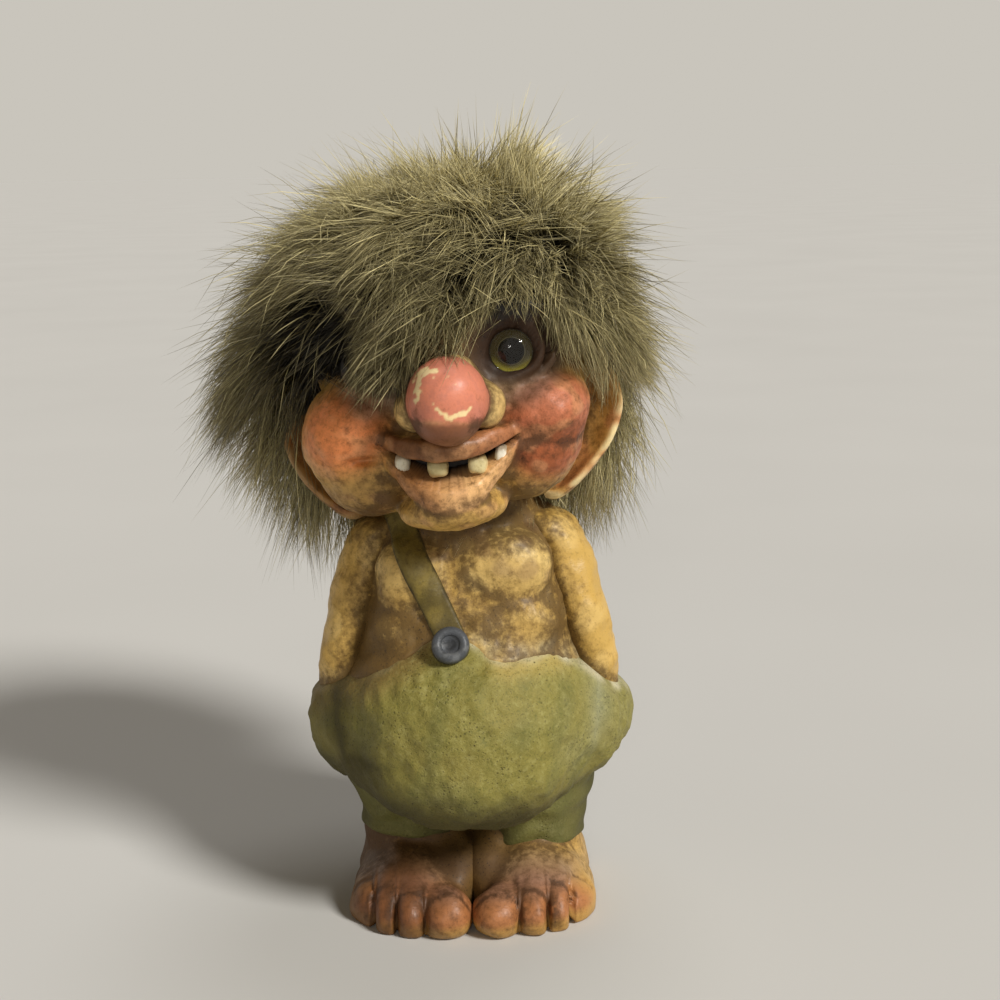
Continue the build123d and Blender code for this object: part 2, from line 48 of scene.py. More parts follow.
FOOT_COLUMNS, FOOT_ROWS, FOOT_REACH = 300, 120, 34.0
TOE_SPREAD = (5.3, 13.2, 18.9, 23.2)
TOE_WIDTH = (10.2, 7.4, 6.6, 6.2)
TOE_FRONT = (-33.0, -31.4, -28.2, -23.4)
TOE_HEIGHT = (9.0, 8.4, 7.8, 7.2)
TOE_HALF, TOE_JOINT, TOE_FAN = 7.0, 5.2, 0.06
CLEFT_SPREAD, CLEFT_SIZE = (9.95, 16.1, 21.1), (0.35, 3.6, 4.4)
INSTEP_SIZE, HEEL_SIZE = (13.8, 20.4, 13.6), (13.0, 11.0, 12.0)
ARCH = ((3.4, -4.0, 5.0), (6.4, 15.0, 9.5))
ANKLE = ((12.8, 0.5, 13.0), (12.3, 11.6, 14.0))


def corners(node):
    """A CAD node's lowest and highest corner in millimetres, the unit of every shape below."""
    return [np.array(corner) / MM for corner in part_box(node)]


def ellipsoid(points, centre, radii):
    """Distance to an ellipsoid, near enough: the scaled radius times its excess over one, over its slope."""
    offset = (points - np.array(centre)) / radii
    radius = np.linalg.norm(offset, axis=-1)
    slope = np.linalg.norm(offset / radii, axis=-1)
    return radius * (radius - 1.0) / np.maximum(slope, 1e-9)


def melt(forms, soft):
    """Runs forms together: minus the log of the sum of exponentials of minus each distance over soft."""
    stack = np.stack(forms)
    least = stack.min(0)
    return least - soft * np.log(np.exp((least - stack) / soft).sum(0))


def carve(body, tool, soft):
    """Takes a tool's form out of a body with an edge rounded by soft."""
    return -melt([-body, tool], soft)


def cleft(forms, width):
    """Nearness to the seam between the two nearest forms: the exponential of minus their gap over width."""
    ordered = np.sort(np.stack(forms), axis=0)
    return np.exp(-(ordered[1] - ordered[0]) / width)


def lumps(points, size, seed):
    """Uneven hand modelling, about -1 to 1: twelve sine waves of about that size in random directions."""
    rng = np.random.default_rng(seed)
    heading = rng.normal(size=(12, 3))
    heading *= 2 * np.pi / size / np.linalg.norm(heading, axis=1, keepdims=True)
    heading *= rng.uniform(0.6, 1.5, (12, 1))
    return np.sin(points @ heading.T + rng.uniform(0, 2 * np.pi, 12)).sum(-1) / 4.0


def rise(value, start, end):
    """A smooth step from 0 at start to 1 at end."""
    share = np.clip((value - start) / (end - start), 0.0, 1.0)
    return share * share * (3.0 - 2.0 * share)


def bell(offset, width):
    """A soft bump, 1 where the offset is 0: the exponential of minus the square of offset over width."""
    return np.exp(-((offset / width) ** 2))


def rings(rows, columns):
    """Faces of stacked rings of points, with one more point that closes each end."""
    row, column = np.mgrid[0 : rows - 1, 0:columns]
    here = row * columns + column
    beside = row * columns + (column + 1) % columns
    quads = np.stack([here, beside, beside + columns, here + columns], -1).reshape(-1, 4)
    edge = np.arange(columns)
    after = (edge + 1) % columns
    top = (rows - 1) * columns
    low_end = np.stack([after, edge, np.full(columns, rows * columns)], -1)
    high_end = np.stack([top + edge, top + after, np.full(columns, rows * columns + 1)], -1)
    return quads, np.concatenate([low_end, high_end])


def skin(field, centre, rows, columns, reach, gather=0.0, level=0.0):
    """A closed skin's points and faces: rays leave the centre at even turns and tilts, and each stops where
    the field, which is negative inside, is last crossed, found by 46 steps inwards and 12 halvings. gather
    crowds the turns to the front, and level the tilts to the horizon."""
    turn = np.linspace(0, 2 * np.pi, columns, endpoint=False)
    turn = turn - gather * np.sin(turn)
    tilt = np.linspace(-np.pi / 2, np.pi / 2, rows + 2)[1:-1]
    tilt = tilt - level * np.sin(2 * tilt)
    turn, tilt = np.meshgrid(turn, tilt)
    ray = np.stack([np.sin(turn) * np.cos(tilt), -np.cos(turn) * np.cos(tilt), np.sin(tilt)], -1)
    ray = np.concatenate([ray.reshape(-1, 3), [[0, 0, -1], [0, 0, 1]]])
    outer = np.full(len(ray), float(reach))
    inner = np.zeros(len(ray))
    seeking = np.arange(len(ray))
    for step in np.linspace(reach, 0.0, 48)[1:-1]:
        inside = field(centre + ray[seeking] * step) < 0
        inner[seeking[inside]] = step
        seeking = seeking[~inside]
        outer[seeking] = step
    for _ in range(12):
        middle = (inner + outer) / 2
        inside = field(centre + ray * middle[:, None]) < 0
        inner = np.where(inside, middle, inner)
        outer = np.where(inside, outer, middle)
    return centre + ray * outer[:, None], rings(rows, columns)


def srgb(red, green, blue):
    """A screen colour from 0 to 255 as the linear values that shaders take."""
    value = np.array([red, green, blue]) / 255.0
    return np.where(value <= 0.04045, value / 12.92, ((value + 0.055) / 1.055) ** 2.4)


def layered(base, *layers):
    """Paint at each point: a base tone or coat, with tones laid over it in turn, each by its own amount
    from 0 to 1."""
    paint = np.broadcast_to(base, (len(layers[0][1]), 3))
    for tone, amount in layers:
        paint = paint + (tone - paint) * np.clip(amount, 0.0, 1.0)[:, None]
    return paint


def add_piece(name, points, faces, material, **brushed):
    """A smooth mesh from points in millimetres and faces as quads and triangles, with its brushed values
    as point attributes. It rides on the one body."""
    quads, triangles = faces
    mesh = bpy.data.meshes.new(name)
    mesh.vertices.add(len(points))
    mesh.vertices.foreach_set("co", (points * MM).astype(np.float32).ravel())
    order = np.concatenate([quads.ravel(), triangles.ravel()]).astype(np.int32)
    starts = np.concatenate([np.arange(len(quads)) * 4, quads.size + np.arange(len(triangles)) * 3])
    mesh.loops.add(len(order))
    mesh.loops.foreach_set("vertex_index", order)
    mesh.polygons.add(len(starts))
    mesh.polygons.foreach_set("loop_start", starts.astype(np.int32))
    mesh.polygons.foreach_set("use_smooth", np.ones(len(starts), bool))
    mesh.update(calc_edges=True)
    for label, values in brushed.items():
        if values.ndim == 2:
            layer = mesh.attributes.new(label, "FLOAT_COLOR", "POINT")
            colour = np.concatenate([values, np.ones((len(values), 1))], 1)
            layer.data.foreach_set("color", colour.astype(np.float32).ravel())
        else:
            layer = mesh.attributes.new(label, "FLOAT", "POINT")
            layer.data.foreach_set("value", values.astype(np.float32))
    mesh.materials.append(material)
    piece = bpy.data.objects.new(name, mesh)
    bpy.context.scene.collection.objects.link(piece)
    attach(piece, "root")
    return piece


class Wire:
    """One shader socket. Sums, differences and products of wires and numbers add Math nodes."""

    def __init__(self, tree, socket=None):
        self.tree, self.socket = tree, socket

    def node(self, kind, settings=(), sockets=(), out=0):
        """Adds a node: its settings first, then each socket's value or link. Gives one output as a wire."""
        made = self.tree.nodes.new("ShaderNode" + kind)
        for label, value in dict(settings).items():
            setattr(made, label, value)
        for label, value in dict(sockets).items():
            if isinstance(value, Wire):
                self.tree.links.new(value.socket, made.inputs[label])
            else:
                made.inputs[label].default_value = value
        return Wire(self.tree, made.outputs[out])

    def math(self, operation, first, second):
        return self.node("Math", {"operation": operation}, {0: first, 1: second})

    def __add__(self, other):
        return self.math("ADD", self, other)

    def __sub__(self, other):
        return self.math("SUBTRACT", self, other)

    def __rsub__(self, other):
        return self.math("SUBTRACT", other, self)

    def __mul__(self, other):
        return self.math("MULTIPLY", self, other)

    __radd__, __rmul__ = __add__, __mul__

    def step(self, start, end):
        """A smooth step of this value from 0 at start to 1 at end."""
        sockets = {"Value": self, "From Min": start, "From Max": end}
        return self.node("MapRange", {"interpolation_type": "SMOOTHSTEP"}, sockets)

    def mix(self, tone, amount):
        """This colour with a tone, or another colour wire, laid over it by an amount."""
        tone = tone if isinstance(tone, Wire) else (*tone, 1.0)
        return self.node("Mix", {"data_type": "RGBA"}, {0: amount, 6: self, 7: tone}, 2)

    def tint(self, tone, amount):
        """This colour multiplied by a tone, by an amount."""
        settings = {"data_type": "RGBA", "blend_type": "MULTIPLY"}
        return self.node("Mix", settings, {0: amount, 6: self, 7: (*tone, 1.0)}, 2)

    def between(self, first, second):
        """A colour that runs from one tone to another as this value runs from 0 to 1."""
        return self.node("Mix", {"data_type": "RGBA"}, {0: self, 6: (*first, 1.0), 7: (*second, 1.0)}, 2)

    def place(self):
        """The piece's own coordinates, in metres."""
        return self.node("TexCoord", out="Object")

    def brushed(self, label, out="Fac"):
        """A value brushed on the piece's points."""
        return self.node("Attribute", {"attribute_name": label}, out=out)

    def noise(self, scale, detail=2.0, roughness=0.5):
        """Noise at this place, with its scale in waves per unit."""
        sockets = {"Vector": self, "Scale": scale, "Detail": detail, "Roughness": roughness}
        return self.node("TexNoise", (), sockets)

    def into(self, shader, label):
        """Links this wire to one of a shader's sockets."""
        self.tree.links.new(self.socket, shader.inputs[label])

    def emboss(self, shader, strength, distance):
        """Raises a shader's surface by this value as a bump."""
        sockets = {"Strength": strength, "Distance": distance, "Height": self}
        self.node("Bump", (), sockets, "Normal").into(shader, "Normal")


def new_finish(name, **values):
    """A material, a bare wire to start its nodes from, and its Principled shader with fixed values set."""
    material = bpy.data.materials.new(name)
    material.use_nodes = True
    shader = material.node_tree.nodes["Principled BSDF"]
    for label, value in values.items():
        shader.inputs[label.replace("_", " ")].default_value = value
    return material, Wire(material.node_tree), shader


def brushed_rubber(name, wash, speck, satin, grain):
    """Painted rubber: each point's brushed colour under a wash that noise breaks up and that also carries
    painted shade, with fine dark specks, a satin face that is duller where the wash lies, and the cast's
    grain as a bump."""
    material, bench, shader = new_finish(name, Specular_IOR_Level=0.32, Coat_Weight=0.08, Coat_Roughness=0.3)
    place, wash_shade_amount = bench.place(), bench.brushed("wash")
    broad, streak, grit = place.noise(150.0, 3.0), place.noise(620.0, 4.0, 0.65), place.noise(2300.0)
    stain_and_shade = (wash_shade_amount + broad * 0.5 + streak * 1.5 - 1.0).step(0.06, 0.8)
    colour = bench.brushed("paint", "Color")
    colour = colour.tint((1.25, 1.22, 1.12), (streak * 0.6 + broad * 0.4).step(0.44, 0.66))
    colour = colour.mix(wash, stain_and_shade * 0.82)
    colour = colour.mix(speck, grit.step(0.6, 0.7) * (0.12 + wash_shade_amount * 0.8) * 0.75)
    colour.into(shader, "Base Color")
    (satin + stain_and_shade * 0.22 + streak * 0.14).into(shader, "Roughness")
    (streak * 0.7 + grit * 0.35 + broad * 0.5).emboss(shader, grain, 0.0006)
    return material


OCHRE = srgb(208, 166, 90)
BLUSH = srgb(168, 102, 66)
WASH_AND_SHADE_BROWN = srgb(60, 37, 16)
SOOT = srgb(30, 24, 20)
INSTEP_DUST, SOLE_RIM, FOOT_SHADE = srgb(140, 116, 104), srgb(176, 134, 70), srgb(100, 58, 28)
bare_skin = brushed_rubber("bare_skin_paint", WASH_AND_SHADE_BROWN, SOOT, 0.34, 0.34)

for node, side in (("left_foot", 1.0), ("right_foot", -1.0)):
    low, high = corners(node)
    foot_x = abs(low[0] + high[0]) / 2

    def foot_forms(points):
        """The toes, one ellipsoid each, then instep, heel, arch and ankle, with the foot's side outwards."""
        outward = points * (side, 1.0, 1.0)
        _, y, z = outward.T
        forms = []
        for spread, width, front, height in zip(TOE_SPREAD, TOE_WIDTH, TOE_FRONT, TOE_HEIGHT):
            lean = (y - front) * TOE_FAN * (spread - foot_x) / foot_x
            straight = outward + lean[:, None] * (1.0, 0.0, 0.0)
            size = (width * 0.61, TOE_HALF, height * 0.64)
            toe = ellipsoid(straight, (spread, front + TOE_HALF, height * 0.42), size)
            forms.append(toe + 0.3 * bell(y - front - TOE_JOINT, 0.5) * rise(z, 4.0, 6.5))
        forms.append(ellipsoid(outward, (foot_x, -9.0, 0.0), INSTEP_SIZE))
        forms.append(ellipsoid(outward, (foot_x, 4.0, 2.0), HEEL_SIZE))
        return forms + [ellipsoid(outward, *ARCH), ellipsoid(outward, *ANKLE)]

    def foot_field(points):
        """The foot's forms run together, uneven by hand, above the floor."""
        body = melt(foot_forms(points), 1.2) + 0.45 + 0.25 * lumps(points, 7.0, 11)
        outward = points * (side, 1.0, 1.0)
        for spread, front in zip(CLEFT_SPREAD, TOE_FRONT[1:]):
            body = carve(body, ellipsoid(outward, (spread, front - 0.8, 3.2), CLEFT_SIZE), 0.7)
        return -melt([-body, points[:, 2]], 0.25)

    heart = np.array([side * foot_x, -9.0, 4.5])
    points, faces = skin(foot_field, heart, FOOT_ROWS, FOOT_COLUMNS, FOOT_REACH, 0.45)
    points[:, 2] = np.maximum(points[:, 2], 0.0)
    x, y, z = points.T
    toes = foot_forms(points)[:4]
    seam = cleft(toes, 1.1) * rise(z, 0.0, 3.0)
    joint_y = np.array(TOE_FRONT)[np.argmin(np.stack(toes), axis=0)] + TOE_JOINT
    # The wash lies in the toe clefts and across the toe joints, and adds painted shade on the inner sides of
    # the feet, between them, and towards the heels; it thins on the outer side of the left foot.
    wash = 0.3 + 0.5 * seam * rise(-y, 21.0, 27.0) + 0.5 * rise(y, -20.0, -8.0)
    wash += 0.65 * rise(-side * x, -11.0, -3.0) * rise(y, -27.0, -17.0)
    wash += 0.5 * bell(y - joint_y, 0.7) * rise(z, 4.0, 6.5)
    wash *= 1.0 - 0.5 * rise(x, 18.0, 24.0)
    # The last layer is painted shade over the whole right foot, which the belly and the other foot shadow.
    paint = layered(
        OCHRE,
        (BLUSH, 0.85 * rise(-y, 15.0, 24.0) * rise(z, 1.0, 4.5)),
        (INSTEP_DUST, 0.6 * rise(z, 6.5, 10.0) * rise(-y, 8.0, 18.0)),
        (SOLE_RIM, 0.8 * rise(z, 4.0, 1.0)),
        (FOOT_SHADE, 0.75 * rise(x, 0.0, -16.0)),
    )
    piece = add_piece(f"{node}_casting", points, faces, bare_skin, paint=paint, wash=wash)
    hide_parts(node)

# Trousers. The same rubber casting, modelled as loose green breeches under a heavy belly, with both hands
# pushed into the hips. The green is stippled on over a pale ground that shows along the worn waist edge.
TROUSER_COLUMNS, TROUSER_ROWS, TROUSER_REACH = 300, 190, 50.0
LEG_COLUMNS, LEG_ROWS = 120, 60
LEFT_HEM, RIGHT_HEM = 11.0, 13.6
BELLY = ((0.0, -11.0, 46.0), (28.6, 28.4, 22.0))
PAUNCH = ((-0.5, -16.5, 36.4), (24.5, 22.0, 15.6))
SEAT = ((0.0, 10.0, 42.5), (27.0, 21.8, 21.5))
HIPS = ((0.4, -1.0, 41.5), (33.6, 21.0, 15.5))
POCKETS = [((side * 25.4, -7.0, 42.6), (10.0, 15.5, 12.2)) for side in (1.0, -1.0)]
CHEST = ((0.0, -3.0, 62.0), (26.0, 22.0, 30.0))
CROTCH = ((0.0, 1.0, 25.0), (12.0, 12.0, 10.0))
WAISTBAND = 0.35
STIPPLE_LIGHT, STIPPLE_DARK = srgb(180, 174, 112), srgb(82, 88, 38)
BREECHES_WASH_AND_SHADE, PIT_SHADE = srgb(50, 44, 16), srgb(40, 36, 18)
WAIST_X = (-40.0, -34.7, -25.8, -18.0, -11.0, -5.0, -1.0, 4.0, 8.0, 13.0, 17.7, 26.0, 34.0, 40.0)
WAIST_Z = (47.0, 49.3, 54.2, 58.4, 62.6, 66.2, 66.0, 62.4, 61.0, 61.0, 61.2, 55.4, 48.0, 45.4)


def eased(line, window):
    """A row of values smoothed by a moving average with the window's weights, its ends held."""
    return np.convolve(np.pad(line, len(window) // 2, mode="edge"), window / window.sum(), "valid")


def waist_line(points):
    """Height of the waist edge: an eased line across the front, a plain arc across the back."""
    fine = np.linspace(-40.0, 40.0, 161)
    line = eased(np.interp(fine, WAIST_X, WAIST_Z), np.hanning(19)[1:-1])
    front = np.interp(points[:, 0], fine, line)
    back = 66.0 - 19.0 * (points[:, 0] / 36.0) ** 2
    return front + (back - front) * rise(points[:, 1], -8.0, 6.0)


def trouser_forms(points):
    """Belly, paunch, seat, hips with their pocket rolls, a band proud of the chest, and the crotch."""
    masses = [ellipsoid(points, *mass) for mass in (BELLY, PAUNCH, SEAT, HIPS, *POCKETS)]
    return [*masses, ellipsoid(points, *CHEST) - WAISTBAND, ellipsoid(points, *CROTCH)]


def trouser_field(points):
    """The trouser forms run together and lumpy, cut off along the waist line."""
    body = melt(trouser_forms(points), 2.4) + 0.75
    body = body + 0.42 * lumps(points, 13.0, 21) + 0.2 * lumps(points, 5.0, 22) + 0.1 * lumps(points, 2.6, 23)
    return carve(body, waist_line(points) - points[:, 2], 0.8)


def stippled_green(name):
    """Green stippled paint: three grains of noise lighten and darken the brushed green, a wash that also
    carries painted shade lies over it, dark pits sit in hollows of the cast, and the bump follows the same
    pits."""
    material, bench, shader = new_finish(name, Specular_IOR_Level=0.35)
    place, wash_shade_amount = bench.place(), bench.brushed("wash")
    broad, dab, grit = place.noise(110.0, 4.0), place.noise(760.0, 5.0, 0.75), place.noise(1900.0)
    pits = bench.node("TexVoronoi", {"feature": "F1"}, {"Vector": place, "Scale": 1100.0}, "Distance")
    pit = pits.step(0.3, 0.1) * broad.step(0.42, 0.62)
    stain_and_shade = (wash_shade_amount * 1.1 + broad * 0.45 + dab * 0.45 - 0.55).step(0.03, 0.85)
    colour = bench.brushed("paint", "Color")
    colour = colour.mix(STIPPLE_LIGHT, (dab * 0.8 + broad * 0.2).step(0.48, 0.68) * 0.42)
    colour = colour.mix(STIPPLE_DARK, (dab * 0.6 + grit * 0.4).step(0.5, 0.34) * 0.5)
    colour = colour.mix(BREECHES_WASH_AND_SHADE, stain_and_shade * 0.85)
    colour = colour.mix(PIT_SHADE, pit * 0.45 + grit.step(0.6, 0.7) * 0.4)
    colour.into(shader, "Base Color")
    (0.5 + dab * 0.2 + stain_and_shade * 0.15).into(shader, "Roughness")
    (dab * 0.9 + grit * 0.3 + broad * 0.8 - pit * 0.9).emboss(shader, 0.42, 0.0008)
    return material


MOSS, DRY_MOSS = srgb(138, 129, 62), srgb(146, 132, 68)
WET_MOSS, SHADED_LEG_GREEN = srgb(92, 98, 54), srgb(96, 98, 54)
FOLD_DUST, WAIST_OCHRE = srgb(158, 158, 128), srgb(196, 172, 100)
WAIST_BROWN, WAIST_CHALK = srgb(134, 106, 60), srgb(206, 198, 166)
breeches = stippled_green("breeches_paint")


def green_coat(points, forms):
    """The brushed green with paler and darker patches, and pale dust in the left hip's fold."""
    x, y, z = points.T
    fold = cleft(forms[:6], 2.4) * rise(-y, 2.0, 10.0) * rise(z, 36.0, 44.0)
    return layered(
        MOSS,
        (DRY_MOSS, 0.3 * rise(lumps(points, 16.0, 24), 0.0, 0.9)),
        (WET_MOSS, 0.3 * rise(lumps(points, 12.0, 25), 0.0, 0.9)),
        (FOLD_DUST, 0.6 * fold * rise(x, 16.0, 22.0)),
    )


heart = np.array([0.0, -3.0, 43.0])
points, faces = skin(trouser_field, heart, TROUSER_ROWS, TROUSER_COLUMNS, TROUSER_REACH, 0.3)
x, y, z = points.T
forms = trouser_forms(points)
edge = waist_line(points) - z
front = rise(-y, -4.0, 6.0)
spill = rise(edge, 5.0, 0.8) * rise(x, 2.0, 8.0) * rise(x, 24.0, 18.0)
# The worn edge fades out towards the figure's right, as painted shade on that side.
worn = bell(edge - 0.5, 0.7) * (0.6 + 0.5 * lumps(points, 6.0, 26)) * (0.2 + 0.8 * rise(x, -6.0, 4.0))
paint = layered(
    green_coat(points, forms),
    (WAIST_OCHRE, 0.75 * spill * front),
    (WAIST_BROWN, 0.7 * rise(edge, 7.0, 0.5) * rise(-x, 2.0, 9.0) * front),
    (WAIST_CHALK, worn * front),
)
# The wash lies in the folds on the figure's right, and adds painted shade low on the belly, on the figure's
# right and towards the back; it thins where the edge is worn.
wash = 0.5 * cleft(forms, 2.2) * rise(-x, 8.0, 24.0) + 0.7 * rise(z, 42.0, 26.0)
wash = wash + 0.4 * rise(-x, 4.0, 30.0) + 0.3 * rise(y, 4.0, 26.0)
wash = wash * (1.0 - 0.8 * np.clip(worn, 0.0, 1.0))
piece = add_piece("breeches_casting", points, faces, breeches, paint=paint, wash=wash)
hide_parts("trousers")


def tube(path, radii, rows, columns):
    """A limb's points and faces: level elliptical rings, with one radius across and one along Y, on the
    polynomial through its stations, drawn in to a rounded end at both ends."""
    station = np.linspace(0.0, 1.0, len(path))
    along = np.linspace(0.0, 1.0, rows)
    power = np.polynomial.polynomial
    fit = power.polyfit(station, np.concatenate([path, radii], 1), len(path) - 1)
    course = power.polyval(along, fit).T
    draw = np.sqrt(np.clip(1.0 - (np.abs(along - 0.5) * 2.0) ** 16, 0.0, 1.0))[:, None]
    turn = np.linspace(0.0, 2 * np.pi, columns, endpoint=False)
    ring_x = course[:, :1] + draw * course[:, 3:4] * np.sin(turn)
    ring_y = course[:, 1:2] - draw * course[:, 4:5] * np.cos(turn)
    ring_z = np.broadcast_to(course[:, 2:3], ring_x.shape)
    rings_on_path = np.stack([ring_x, ring_y, ring_z], -1).reshape(-1, 3)
    return np.concatenate([rings_on_path, course[:1, :3], course[-1:, :3]]), rings(rows, columns)


def unit(vectors):
    """Vectors at length one."""
    return vectors / np.maximum(np.linalg.norm(vectors, axis=-1, keepdims=True), 1e-9)


for name, side, hem in (("left_leg", 1.0, LEFT_HEM), ("right_leg", -1.0, RIGHT_HEM)):
    leg_path = np.array([[13.2, 0.6, hem], [13.2, 0.6, hem + 5.0], [13.4, 0.5, 24.0], [14.0, 0.0, 34.0]])
    leg_size = np.array([[12.5, 12.6], [12.2, 12.4], [13.8, 13.8], [16.4, 16.0]])
    points, faces = tube(leg_path * (side, 1.0, 1.0), leg_size, LEG_ROWS, LEG_COLUMNS)
    spoke = unit((points - (side * 14.0, 0.8, 0.0)) * (1.0, 1.0, 0.0))
    z = points[:, 2]
    crumple = 0.35 * lumps(points, 9.0, 27) + 0.3 * np.sin(z * 0.9 + 3.0 * lumps(points, 18.0, 28))
    points = points + spoke * (crumple * rise(z, 32.0, 24.0))[:, None]
    x, y, z = points.T
    # The legs are painted a darker green as shade under the belly, and the wash adds painted shade at their
    # backs and inner sides.
    paint = layered(green_coat(points, trouser_forms(points)), (SHADED_LEG_GREEN, np.full(len(points), 0.55)))
    wash = 0.35 + 0.3 * rise(y, -14.0, -2.0) + 0.3 * rise(-side * x, -12.0, -4.0)
    piece = add_piece(f"{name}_casting", points, faces, breeches, paint=paint, wash=wash)

# Torso and arms. The bare chest with its two folds, and both arms hanging to the hips. They are parts of
# the casting, ochre where the paint was wiped back or a highlight is painted on, and dark brown where the
# wash stayed in the folds or shade is painted in.
TORSO_COLUMNS, TORSO_ROWS, TORSO_REACH = 240, 150, 36.0
BREASTS = (((9.0, -18.4, 78.4), (9.4, 6.6, 7.4)), ((-11.8, -18.4, 76.4), (7.2, 6.4, 7.6)))
RIB_FOLDS = (((9.8, -19.7, 66.4), (9.6, 5.4, 5.2)), ((-12.0, -18.6, 64.6), (8.0, 5.4, 5.4)))
SHOULDERS = [((side * 14.0, -4.0, 81.0), (9.0, 9.0, 8.0)) for side in (1.0, -1.0)]
NECK = ((-1.0, -5.0, 89.0), (15.0, 14.5, 11.0))
CHEST_OCHRE, CHEST_PALE_AND_HIGHLIGHT, CHEST_BRUISE = srgb(200, 162, 86), srgb(236, 204, 132), srgb(128, 96, 80)
CHEST_DUST = srgb(206, 190, 146)
ARM_COLUMNS, ARM_ROWS = 110, 110
ARM_X = (22.0, 27.0, 26.2, 23.6, 20.6, 14.6)
ARM_Y = (-5.0, -7.6, -9.3, -9.0, -7.0, -5.0)
ARM_Z = (40.5, 48.8, 58.5, 69.0, 79.5, 88.0)
ARM_WIDE, ARM_DEEP = (4.4, 5.2, 5.7, 6.0, 6.2, 6.4), (5.0, 6.0, 6.6, 6.8, 7.2, 7.4)
LEFT_ARM_WASH, RIGHT_ARM_WASH_AND_SHADE = 0.28, 0.4
ARM_OCHRE, ARM_LIGHT = srgb(204, 166, 88), srgb(226, 192, 120)


def torso_forms(points):
    """Chest, breasts and the folds under them, shoulders, neck, and the belly that fills the breeches."""
    forms = [ellipsoid(points, *mass) for mass in (CHEST, *BREASTS, *RIB_FOLDS, *SHOULDERS, NECK)]
    return forms + [ellipsoid(points, *mass) + 0.5 for mass in (BELLY, PAUNCH, HIPS, SEAT)]


def torso_field(points):
    """The torso's forms run together, a little uneven, and drawn in under the breeches."""
    tucked = 3.0 * rise(waist_line(points) - points[:, 2], 0.2, 4.0)
    body = melt(torso_forms(points), 1.7) + 0.45 + tucked
    return body + 0.22 * lumps(points, 8.0, 31) + 0.08 * lumps(points, 3.0, 32)


points, faces = skin(torso_field, np.array([0.0, -4.0, 68.0]), TORSO_ROWS, TORSO_COLUMNS, TORSO_REACH, 0.45)
x, y, z = points.T
forms = torso_forms(points)
seam = cleft(forms[:5], 1.5) * rise(-y, 8.0, 14.0) * (0.3 + 0.7 * rise(z, 80.0, 73.0))
breast = bell(np.minimum(forms[1], forms[2]), 2.0) * rise(z, 70.0, 78.0)
fold = bell(forms[3], 2.0) * rise(z, 62.0, 68.0)
dusty = bell(z - waist_line(points), 3.0) * rise(x, -4.0, 5.0)
# The wash is dark in the folds and along the breastbone; painted shade darkens it towards the neck, at the
# sides by the arms and low on the figure's right, and it thins on the breasts under their painted highlight.
wash = 0.33 + 0.55 * seam + 0.4 * rise(np.abs(x + 0.3), 15.0, 20.0) + 0.45 * rise(z, 79.0, 85.0)
wash = wash + 0.3 * rise(-x, 0.0, 8.0) * rise(z, 72.0, 64.0) + 0.25 * bell(x + 0.5, 2.2)
wash = wash - 0.12 * np.maximum(breast, 0.5 * fold) * rise(seam, 0.7, 0.2) - 0.2 * dusty
wiped_and_highlit = 0.5 * np.maximum(breast, 0.3 * fold) + 0.25 * rise(lumps(points, 8.0, 30), 0.2, 0.9)
paint = layered(
    CHEST_OCHRE,
    (CHEST_PALE_AND_HIGHLIGHT, wiped_and_highlit),
    (CHEST_BRUISE, 0.4 * rise(lumps(points, 7.0, 33), 0.1, 0.9) * rise(z, 68.0, 78.0)),
    (CHEST_DUST, 0.65 * dusty * (0.8 + 0.4 * lumps(points, 5.0, 37))),
)
wash = np.clip(wash, 0.0, 1.0)
piece = add_piece("torso_casting", points, faces, bare_skin, paint=paint, wash=wash)
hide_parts("torso")

for node, side, arm_wash_and_shade in (("left_arm", 1.0, LEFT_ARM_WASH), ("right_arm", -1.0, RIGHT_ARM_WASH_AND_SHADE)):
    arm_path = np.stack([ARM_X, ARM_Y, ARM_Z], -1) * (side, 1.0, 1.0)
    points, faces = tube(arm_path, np.stack([ARM_WIDE, ARM_DEEP], -1), ARM_ROWS, ARM_COLUMNS)
    middle = np.interp(points[:, 2], ARM_Z, ARM_X) * side
    spoke = unit(np.stack([points[:, 0] - middle, points[:, 1] + 8.5, np.zeros(len(points))], -1))
    points = points + spoke * (0.3 * lumps(points, 9.0, 34) + 0.12 * lumps(points, 3.5, 35))[:, None]
    x, y, z = points.T
    inward = (middle - x) * side
    # The base wash is the arm's own; painted shade darkens it on the inner side, at the back, low down, at
    # the shoulder and where the arm meets the breeches, and over the whole right arm, and it thins on the
    # outer side.
    wash = arm_wash_and_shade + 0.5 * rise(inward, -0.5, 4.0) + 0.25 * rise(y, -8.0, 0.0) + 0.25 * rise(z, 52.0, 46.0)
    wash = wash + 0.3 * rise(z, 80.0, 86.0) - 0.15 * rise(inward, -1.0, -4.5)
    wash = np.clip(wash + 0.45 * bell(z - waist_line(points), 2.0), 0.0, 1.0)
    paint = layered(ARM_OCHRE, (ARM_LIGHT, 0.6 * rise(lumps(points, 9.0, 36), 0.0, 0.9)))
    piece = add_piece(f"{node}_casting", points, faces, bare_skin, paint=paint, wash=wash)
    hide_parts(node)

# Strap. The single brace of the breeches, modelled on the casting as a flat band and painted olive. It
# runs from the button over the figure's right shoulder and down its back.
STRAP_COLUMNS, STRAP_ROWS = 40, 240
STRAP_WIDTH, STRAP_THICK, STRAP_SUNK, STRAP_LEAN = 6.2, 1.1, 0.9, math.radians(25.0)
STRAP_START, STRAP_END, STRAP_REACH = math.radians(-18.0), math.radians(205.0), 45.0
STRAP_HEART, STRAP_RAISE = np.array([-3.6, -3.0, 66.0]), 4.0
OLIVE, WORN_OLIVE, PAINTED_LIGHT_OLIVE, STRAP_WASH = (
    srgb(94, 80, 32), srgb(126, 108, 46), srgb(134, 116, 52), srgb(52, 44, 26)
)


